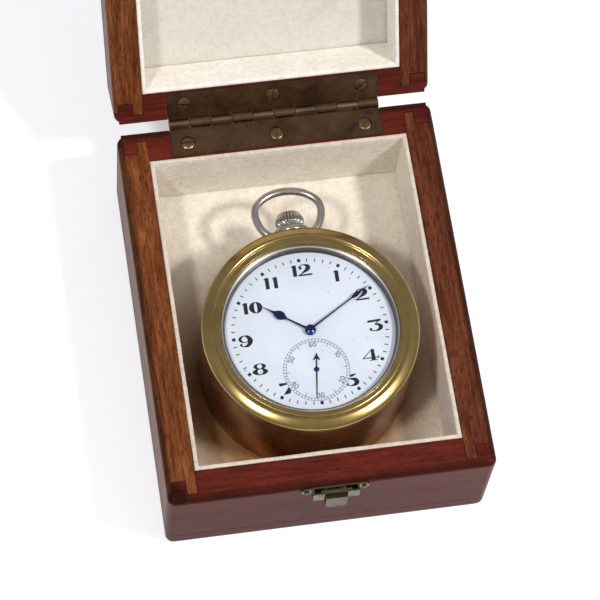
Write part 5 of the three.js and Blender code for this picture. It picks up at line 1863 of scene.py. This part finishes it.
THIN_FACE = {
    "0": Figure(0.78, strokes=(
        ((0.36, 0.0, 0.07), (0.66, 0.25, 0.08), (0.7, 0.6, 0.08), (0.36, 1.1, 0.07), (0.05, 0.7, 0.08),
         (0.05, 0.3, 0.08), (0.36, 0.0, 0.07)),)),
    "1": Figure(0.4, strokes=(
        ((0.25, 0.0, 0.08), (0.25, 1.1, 0.08)), ((0.0, 0.85, 0.06), (0.25, 1.08, 0.06)))),
    "2": Figure(0.78, strokes=(
        ((0.05, 0.85, 0.07), (0.36, 1.1, 0.07), (0.66, 0.82, 0.08), (0.3, 0.35, 0.07), (0.02, 0.02, 0.07)),
        ((0.02, 0.03, 0.07), (0.7, 0.03, 0.07)))),
    "3": Figure(0.76, strokes=(
        ((0.03, 0.9, 0.07), (0.35, 1.1, 0.07), (0.62, 0.85, 0.08), (0.3, 0.58, 0.06)),
        ((0.3, 0.58, 0.06), (0.68, 0.3, 0.08), (0.35, 0.0, 0.07), (0.02, 0.18, 0.07)))),
    "4": Figure(0.8, strokes=(((0.5, 0.0, 0.08), (0.5, 1.1, 0.08)), ((0.48, 1.08, 0.06), (0.0, 0.35, 0.06)),
                              ((0.0, 0.33, 0.06), (0.75, 0.33, 0.06)))),
    "5": Figure(0.76, strokes=(
        ((0.62, 1.06, 0.07), (0.12, 1.06, 0.07)), ((0.12, 1.06, 0.06), (0.08, 0.6, 0.06)),
        ((0.08, 0.6, 0.06), (0.4, 0.7, 0.07), (0.68, 0.35, 0.08), (0.38, 0.0, 0.07), (0.02, 0.14, 0.07)))),
    "6": Figure(0.78, strokes=(
        ((0.62, 1.0, 0.07), (0.3, 1.05, 0.07), (0.05, 0.6, 0.08), (0.08, 0.18, 0.08), (0.38, 0.0, 0.07),
         (0.68, 0.3, 0.08), (0.4, 0.6, 0.06), (0.1, 0.42, 0.06)),)),
}


def ellipse(oval: Oval) -> list[Point]:
    """The outline of an ellipse given by its centre and half axes.

    Args:
        oval: Its centre and half axes.

    Returns:
        The points.
    """
    x, y, rx, ry = oval
    angles = [FULL_TURN * i / 40 for i in range(40)]
    return [(x + rx * math.cos(a), y + ry * math.sin(a)) for a in angles]


def flowing(points: Stroke, steps: int = 7) -> list[Triple]:
    """A smooth curve through points that carry a half width.

    Args:
        points: The points, as x, y and half width.
        steps: How many pieces lie between two points.

    Returns:
        The curve's points.
    """
    if len(points) == 2:
        return list(points)
    spots = [Vector(p) for p in points]
    curve = []
    for i in range(len(spots) - 1):
        a, b = spots[max(0, i - 1)], spots[i]
        c, d = spots[i + 1], spots[min(len(spots) - 1, i + 2)]
        for k in range(steps):
            t = k / steps
            p = 0.5 * (2 * b + (c - a) * t + (2 * a - 5 * b + 4 * c - d) * t ** 2
                       + (3 * b - a - 3 * c + d) * t ** 3)
            curve.append(tuple(p))
    return curve + [tuple(spots[-1])]


class Press:
    """Collects flat ink shapes at one level.

    Shapes that overlap lie at levels that differ by less than a thousandth of a millimetre, so that
    no two of their faces coincide.
    """

    rise: float = 0.0006
    levels: int = 8
    step: float = 0.15

    def __init__(self, level: float, ink: float, clear: Sequence[float] = (0.0, 0.0, 0.0)) -> None:
        """Starts with no ink.

        Args:
            level: The level of the enamel.
            ink: How far the ink reaches above and below it.
            clear: A circle that stays free of ink, as x, y and radius.
        """
        self.level = level
        self.ink = ink
        self.clear = clear
        self.count = 0
        self.bm = bmesh.new()

    def layer(self, points: Iterable[Point], place: Matrix, steps: int = 0) -> tuple[list, list]:
        """Sets the points of a shape, kept out of the clear circle.

        Args:
            points: The points.
            place: Where they lie.
            steps: How many levels the shape lies above the one before.

        Returns:
            The lower and the upper points.
        """
        self.count += steps
        high = self.level + self.ink + self.rise * (self.count % self.levels)
        lower, upper = [], []
        x, y, radius = self.clear
        for point in points:
            p = place @ Vector((*point, 0))
            arm = Vector((p.x - x, p.y - y))
            if arm.length < radius:
                arm = arm.normalized() * radius
            lower.append(self.bm.verts.new((x + arm.x, y + arm.y, self.level - self.ink)))
            upper.append(self.bm.verts.new((x + arm.x, y + arm.y, high)))
        return lower, upper

    def plate(self, outline: Sequence[Point], place: Matrix) -> None:
        """Adds a flat outline.

        Args:
            outline: The outline.
            place: Where it lies.
        """
        dense = []
        for (ax, ay), (bx, by) in zip(outline, list(outline[1:]) + [outline[0]]):
            pieces = max(1, round(math.hypot(bx - ax, by - ay) / self.step))
            dense += [(ax + (bx - ax) * i / pieces, ay + (by - ay) * i / pieces) for i in range(pieces)]
        lower, upper = self.layer(dense, place, 1)
        skin(self.bm, (lower, upper))
        self.bm.faces.new(reversed(lower))
        self.bm.faces.new(upper)

    def strip(self, left: list[Point], right: list[Point], place: Matrix, closed: bool = False) -> None:
        """Adds the band between two lines.

        Args:
            left: The points of one line.
            right: As many points of the other.
            place: Where they lie.
            closed: Whether the band runs round into itself.
        """
        left_low, left_high = self.layer(left, place, 2)
        right_low, right_high = self.layer(right, place)
        sections = list(zip(left_low, left_high, right_high, right_low))
        skin(self.bm, sections, closed)
        if not closed:
            self.bm.faces.new(sections[0])
            self.bm.faces.new(reversed(sections[-1]))

    def stroke(self, points: Stroke, place: Matrix) -> None:
        """Adds a line of changing width with round ends.

        Args:
            points: Its points, as x, y and half width.
            place: Where it lies.
        """
        curve = flowing(points)
        left, right = [], []
        for i, (x, y, half) in enumerate(curve):
            before, after = curve[max(0, i - 1)], curve[min(len(curve) - 1, i + 1)]
            ahead = Vector((after[0] - before[0], after[1] - before[1])).normalized()
            left.append((x - ahead.y * half, y + ahead.x * half))
            right.append((x + ahead.y * half, y - ahead.x * half))
        self.strip(left, right, place)
        for x, y, half in (curve[0], curve[-1]):
            self.plate(ellipse((x, y, half, half)), place)

    def text(self, text: str, face: dict[str, Figure], gap: float, height: float, place: Matrix) -> None:
        """Sets figures in a line, centred on their place.

        Args:
            text: The figures.
            face: Their shapes.
            gap: The space between two figures.
            height: The figures' height, for the centring.
            place: The turn and the centre.
        """
        whole = sum(face[c].width for c in text) + gap * (len(text) - 1)
        x = -whole / 2
        for c in text:
            here = place @ Matrix.Translation((x, -height / 2, 0))
            figure = face[c]
            for points in figure.strokes:
                self.stroke(points, here)
            for outline in figure.plates:
                self.plate(outline, here)
            for oval in figure.balls:
                self.plate(ellipse(oval), here)
            for outer, inner in figure.rings:
                self.strip(ellipse(outer), ellipse(inner), here, closed=True)
            x += figure.width + gap

    def printed(self, name: str) -> Piece:
        """The finished print, as a piece of that name."""
        return finish_mesh(name, self.bm, 30, merge=0.0)


@dataclass
class Dial(Assembly):
    """The enamel dial with its printing: fat-face hours, the minute track and the seconds ring."""

    figure_height: float = 3.75
    gap: float = 0.45
    ones_gap: float = 1.4
    track_radius: float = 23.45
    ink: float = 0.02
    seconds_drop: float = 12.7
    ring_outer: float = 9.98
    ring_inner: float = 9.13
    line: float = 0.12
    clearance: float = 0.25
    small_radius: float = 8.2
    small_height: float = 1.1
    small_gap: float = 0.14
    small_scale: float = 1.3
    pipe_hole: float = 1.35
    seconds_hole: float = 0.8

    def plate(self) -> Piece:
        """The enamelled plate with its two holes.

        Returns:
            The plate.
        """
        box = extent("dial")
        radius = box.size.x / 2
        low, high = box.low.z, box.high.z
        plate = lathed("dial_enamelled", rounded([
            (0, low, 0), (radius, low, 0.1), (radius, high, 0.25), (0, high, 0)]), 200)
        for radius, drop in ((self.pipe_hole, 0.0), (self.seconds_hole, self.seconds_drop)):
            hole = lathed("hole", [(0, 10), (radius, 10), (radius, 70), (0, 70)], 48, drop)
            plate = combined(plate, hole, Joining.CUT)
        return plate

    def figures(self) -> Piece:
        """The hours from one to twelve without the six.

        Returns:
            The figures.
        """
        # The seconds ring crosses the five and the seven, so they stop short of it
        clear = self.ring_outer + self.clearance
        press = Press(DIAL_FACE, self.ink, (WATCH.x, WATCH.y - self.seconds_drop, clear))
        for hour, (x, y) in HOUR_PLACES.items():
            gap = self.ones_gap if hour == 11 else self.gap
            press.text(str(hour), FAT_FACE, gap, self.figure_height, on_watch(x, y))
        return press.printed("dial_hour_figures")

    def small_figures(self) -> Piece:
        """The figures of the seconds ring, which stand along it and are all to be read upright.

        Returns:
            The figures.
        """
        press = Press(DIAL_FACE, self.ink)
        for label in ("60", "10", "20", "30", "40", "50"):
            a = math.radians(6 * int(label))
            upside_down = math.cos(a) < -0.1
            turn = math.pi - a if upside_down else -a
            x, y = self.small_radius * math.sin(a), self.small_radius * math.cos(a)
            centre = on_watch(x, y - self.seconds_drop)
            place = centre @ Matrix.Rotation(turn, 4, "Z") @ Matrix.Scale(self.small_scale, 4)
            press.text(label, THIN_FACE, self.small_gap, self.small_height, place)
        return press.printed("dial_seconds_figures")

    def ring_line(self, name: str, radius: float) -> Piece:
        """A thin printed circle round the seconds.

        Args:
            name: The piece's name.
            radius: Its inner radius.

        Returns:
            The circle.
        """
        low, high, outer = DIAL_FACE - self.ink, DIAL_FACE + self.ink, radius + self.line
        profile = [(radius, low), (outer, low), (outer, high), (radius, high)]
        return lathed(name, profile, 180, self.seconds_drop)

    def ticks(self, name: str, tree: Growth, drop: float, material: Material, every: int,
              phase: int, **sizes: float) -> Piece:
        """A ring of printed marks.

        Args:
            name: The piece's name.
            tree: The tick ring tree.
            drop: How far its centre lies below the dial's, in millimetres.
            material: The ink.
            every: One mark in so many is a long one.
            phase: The number of the first long mark.
            sizes: The tree's sizes in millimetres, with an underscore for a space.

        Returns:
            The piece.
        """
        # The pattern is a metre wide and long, so that the tree's scale is the mark's size
        piece = finish_mesh(name, block((-500, -500, -self.ink), (500, 500, self.ink)))
        values = {key.replace("_", " "): size * MM for key, size in sizes.items()}
        centre = Vector((WATCH.x, WATCH.y - drop, DIAL_FACE)) * MM
        return tree.grow(piece, {
            "Count": 60, "Every": every, "Phase": phase, "Centre": centre, "Material": material, **values})

    def build(self) -> None:
        """Makes and dresses the dial."""
        dress(self.plate(), self.finishes.enamel, "watch", ["dial"])
        tree = tick_ring()
        track = self.ticks(
            "dial_minute_track", tree, 0.0, self.finishes.ink, every=5, phase=0, Radius=self.track_radius,
            Width=0.3, Length=1.1, Long_Width=0.98, Long_Length=1.05, Long_Shift=0.0)
        seconds = self.ticks(
            "dial_seconds_track", tree, self.seconds_drop, self.finishes.thin_ink, every=10, phase=5,
            Radius=(self.ring_outer + self.ring_inner) / 2 + 0.05, Width=0.17,
            Length=self.ring_outer - self.ring_inner, Long_Width=0.17, Long_Length=2.0, Long_Shift=-0.55)
        dress(track, self.finishes.ink, "watch")
        dress(seconds, self.finishes.thin_ink, "watch")
        for piece in (self.figures(), self.small_figures()):
            dress(piece, self.finishes.ink, "watch")
        for side, radius in (("outer", self.ring_outer), ("inner", self.ring_inner)):
            line = self.ring_line(f"dial_seconds_line_{side}", radius)
            dress(line, self.finishes.thin_ink, "watch")


@dataclass
class Hand:
    """One blued hand: a flat blade with softened edges on a round boss.

    Attributes:
        blade: Half widths and distances from the axis, from the boss to the tip.
        tail: The same on the other side of the axis, if there is one.
        level: The level of its underside.
        angle: Where it points, clockwise from twelve, in degrees.
        cap: The level of the boss's top.
        drop: How far its axis lies below the dial's centre.
    """

    name: str
    node: str
    body: str
    blade: tuple[Point, ...]
    level: float
    angle: float
    boss: float
    cap: float
    tail: tuple[Point, ...] = ()
    drop: float = 0.0
    sheet: float = 0.2
    edge: float = 0.05

    def outline(self) -> list[Point]:
        """The blade's outline, smooth between its points.

        Returns:
            The outline's points.
        """
        right = flowing(tuple((half, along, 0.0) for half, along in self.blade), 5)
        whole = [(x, -y) for x, y in reversed(self.tail)] + [(x, y) for x, y, _ in right]
        return whole + [(-x, y) for x, y in reversed(whole) if x > 1e-6]

    def build(self, finishes: Finishes) -> None:
        """Makes and dresses the hand.

        Args:
            finishes: The materials.
        """
        blade = finish_mesh(self.name, prism(self.outline(), self.level, self.level + self.sheet))
        blade = softened(blade, self.edge, 40)
        turn = Matrix.Rotation(-math.radians(self.angle), 4, "Z")
        blade.data.transform(shift_metres(on_watch(0, -self.drop) @ turn))
        rise = self.cap - self.level
        profile = [(0, self.level)] + rounded([
            (self.boss, self.level, 0), (self.boss, self.cap - rise * 0.45, rise * 0.3),
            (self.boss * 0.55, self.cap, rise * 0.5), (0, self.cap, 0)])
        whole = combined(blade, lathed("boss", profile, 64, self.drop), Joining.ADD, 40)
        dress(whole, finishes.blued, self.body, [self.node])


@dataclass
class Hands(Assembly):
    """The three hands, at the time that the photograph shows."""

    hour_angle: float = 304.8
    minute_angle: float = 58.5
    seconds_angle: float = 188.0

    def build(self) -> None:
        """Makes and dresses the hands."""
        hour = Hand("hour_hand_blued", "hour_hand", "hour", (
            (0.4, 0.9), (0.32, 3.5), (0.26, 6.6), (0.3, 8.0), (0.62, 8.7), (1.12, 9.3), (1.4, 10.1),
            (1.34, 10.9), (0.95, 11.7), (0.5, 12.4), (0.24, 13.4), (0.15, 15.0), (0.0, 16.8)),
            level=43.27, angle=self.hour_angle, boss=1.7, cap=43.75)
        minute = Hand("minute_hand_blued", "minute_hand", "centre", (
            (0.36, 0.9), (0.26, 4.0), (0.2, 10.0), (0.2, 15.6), (0.28, 16.6), (0.52, 17.3), (0.64, 18.1),
            (0.52, 19.1), (0.24, 20.4), (0.14, 22.0), (0.0, 23.4)),
            level=43.99, angle=self.minute_angle, boss=1.5, cap=extent("centre_wheel").high.z + 0.08)
        seconds = Hand("seconds_hand_blued", "seconds_hand", "fourth", (
            (0.2, 0.5), (0.19, 4.0), (0.12, 8.0), (0.05, 9.4)),
            tail=((0.2, 0.5), (0.17, 3.6), (0.9, 2.95), (1.02, 3.15), (0.25, 4.65), (0.0, 5.6)),
            level=42.72, angle=self.seconds_angle, boss=0.8, cap=extent("fourth_wheel").high.z + 0.06,
            drop=12.7, sheet=0.16)
        for hand in (hour, minute, seconds):
            hand.build(self.finishes)


@dataclass
class Movement(Assembly):
    """The works behind the dial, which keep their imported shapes."""

    gilt: tuple[str, ...] = (
        "main_plate", "mainspring_barrel", "barrel_bridge", "train_bridge", "balance_cock",
        "centre_wheel", "third_wheel", "fourth_wheel", "balance_wheel", "hour_wheel", "minute_wheel")
    steel: tuple[str, ...] = ("escape_wheel", "pallet_fork", "ratchet_wheel", "crown_wheel", "winding_pinion")

    def build(self) -> None:
        """Dresses the works."""
        coat("balance_spring", self.finishes.blued)
        for nodes, finish in ((self.gilt, self.finishes.gilt), (self.steel, self.finishes.steel)):
            for node in nodes:
                coat(node, finish)


# The studio


@dataclass
class Studio:
    """A pale floor, soft lamps and the camera at the photograph's viewing angle.

    Attributes:
        eye: Where the camera stands, in millimetres.
        glow: The floor's own light, where the camera sees it.
        aim: The point that the lamps face, in metres.
        lamps: Each lamp's name, its place in metres and its power in watts.
    """

    eye: Triple = (-102.459, -330.908, 846.653)
    right: Triple = (0.98660617, -0.1509304, 0.06187305)
    down: Triple = (-0.11561465, -0.91459898, -0.38748156)
    ahead: Triple = (0.11507177, 0.37513827, -0.91979877)
    lens: float = 172.208
    floor: float = 3.0
    glow: float = 0.385
    sky: float = 0.37
    lamp_size: float = 0.11
    aim: Triple = (0, 0, 0.03)
    lamps: tuple[tuple[str, Triple, float], ...] = (
        ("right_softbox", (0.52, -0.27, 0.93), 6.8), ("left_softbox", (-0.41, -0.26, 0.98), 4.3))

    def camera(self) -> None:
        """Puts the camera where the box's edges say it stood."""
        data = bpy.data.cameras.new("camera")
        data.lens = self.lens
        data.sensor_width = 36.0
        data.clip_start = 0.05
        data.clip_end = 20.0
        camera = bpy.data.objects.new("camera", data)
        up = -Vector(self.down)
        turn = Matrix((Vector(self.right), up, -Vector(self.ahead))).transposed().to_4x4()
        camera.matrix_world = Matrix.Translation(Vector(self.eye) * MM) @ turn
        bpy.context.scene.collection.objects.link(camera)
        bpy.context.scene.camera = camera

    def ground(self) -> None:
        """A wide pale floor that keeps the object's shadow."""
        mesh = bpy.data.meshes.new("floor")
        half = self.floor
        mesh.from_pydata([(-half, -half, 0), (half, -half, 0), (half, half, 0), (-half, half, 0)], [],
                         [(0, 1, 2, 3)])
        floor = bpy.data.objects.new("floor", mesh)
        bpy.context.scene.collection.objects.link(floor)
        s = Shader("pale_paper")
        s.plain(Base_Color=linear("f4f4f5"), Roughness=0.9, Specular_IOR_Level=0.1)
        light = s.add("ShaderNodeLightPath")
        seen = s.worked("MAXIMUM", light.outputs["Is Camera Ray"], light.outputs["Is Glossy Ray"])
        seen = s.worked("MAXIMUM", seen, light.outputs["Is Transmission Ray"])
        s.link(s.times(seen, self.glow), "Emission Strength")
        s.plain(Emission_Color=(1, 1, 1, 1))
        mesh.materials.append(s.material)

    def lamp(self, name: str, place: Sequence[float], power: float) -> None:
        """A square soft lamp.

        Args:
            name: Its name.
            place: Where it hangs, in metres.
            power: Its power, in watts.
        """
        data = bpy.data.lights.new(name, "AREA")
        data.size = self.lamp_size
        data.energy = power
        lamp = bpy.data.objects.new(name, data)
        lamp.location = place
        lamp.rotation_mode = "QUATERNION"
        lamp.rotation_quaternion = (Vector(self.aim) - Vector(place)).to_track_quat("-Z", "Y")
        bpy.context.scene.collection.objects.link(lamp)

    def world(self) -> None:
        """An even, dim sky."""
        world = bpy.data.worlds.new("studio")
        bpy.context.scene.world = world
        world.use_nodes = True
        tree = world.node_tree
        tree.nodes.clear()
        sky = add_node(tree, "ShaderNodeBackground", {"Color": linear("f6f8ff"), "Strength": self.sky})
        add_node(tree, "ShaderNodeOutputWorld", {"Surface": sky.outputs[0]})

    def build(self) -> None:
        """Sets up the studio."""
        self.camera()
        self.ground()
        self.world()
        for name, place, power in self.lamps:
            self.lamp(name, place, power)
        bpy.context.scene.view_settings.view_transform = "Standard"


def main() -> None:
    """Builds the studio and every sub-assembly in order."""
    logging.basicConfig(level=logging.INFO, format="%(name)s: %(message)s")
    Studio().build()
    finishes = Finishes()
    for assembly in (Joinery, Lining, Hinge, Latch, Holder, Case, Dial, Hands, Movement):
        assembly(finishes).build()
        log.info("finished the %s", assembly.__name__.lower())


if __name__ == "__main__":
    main()
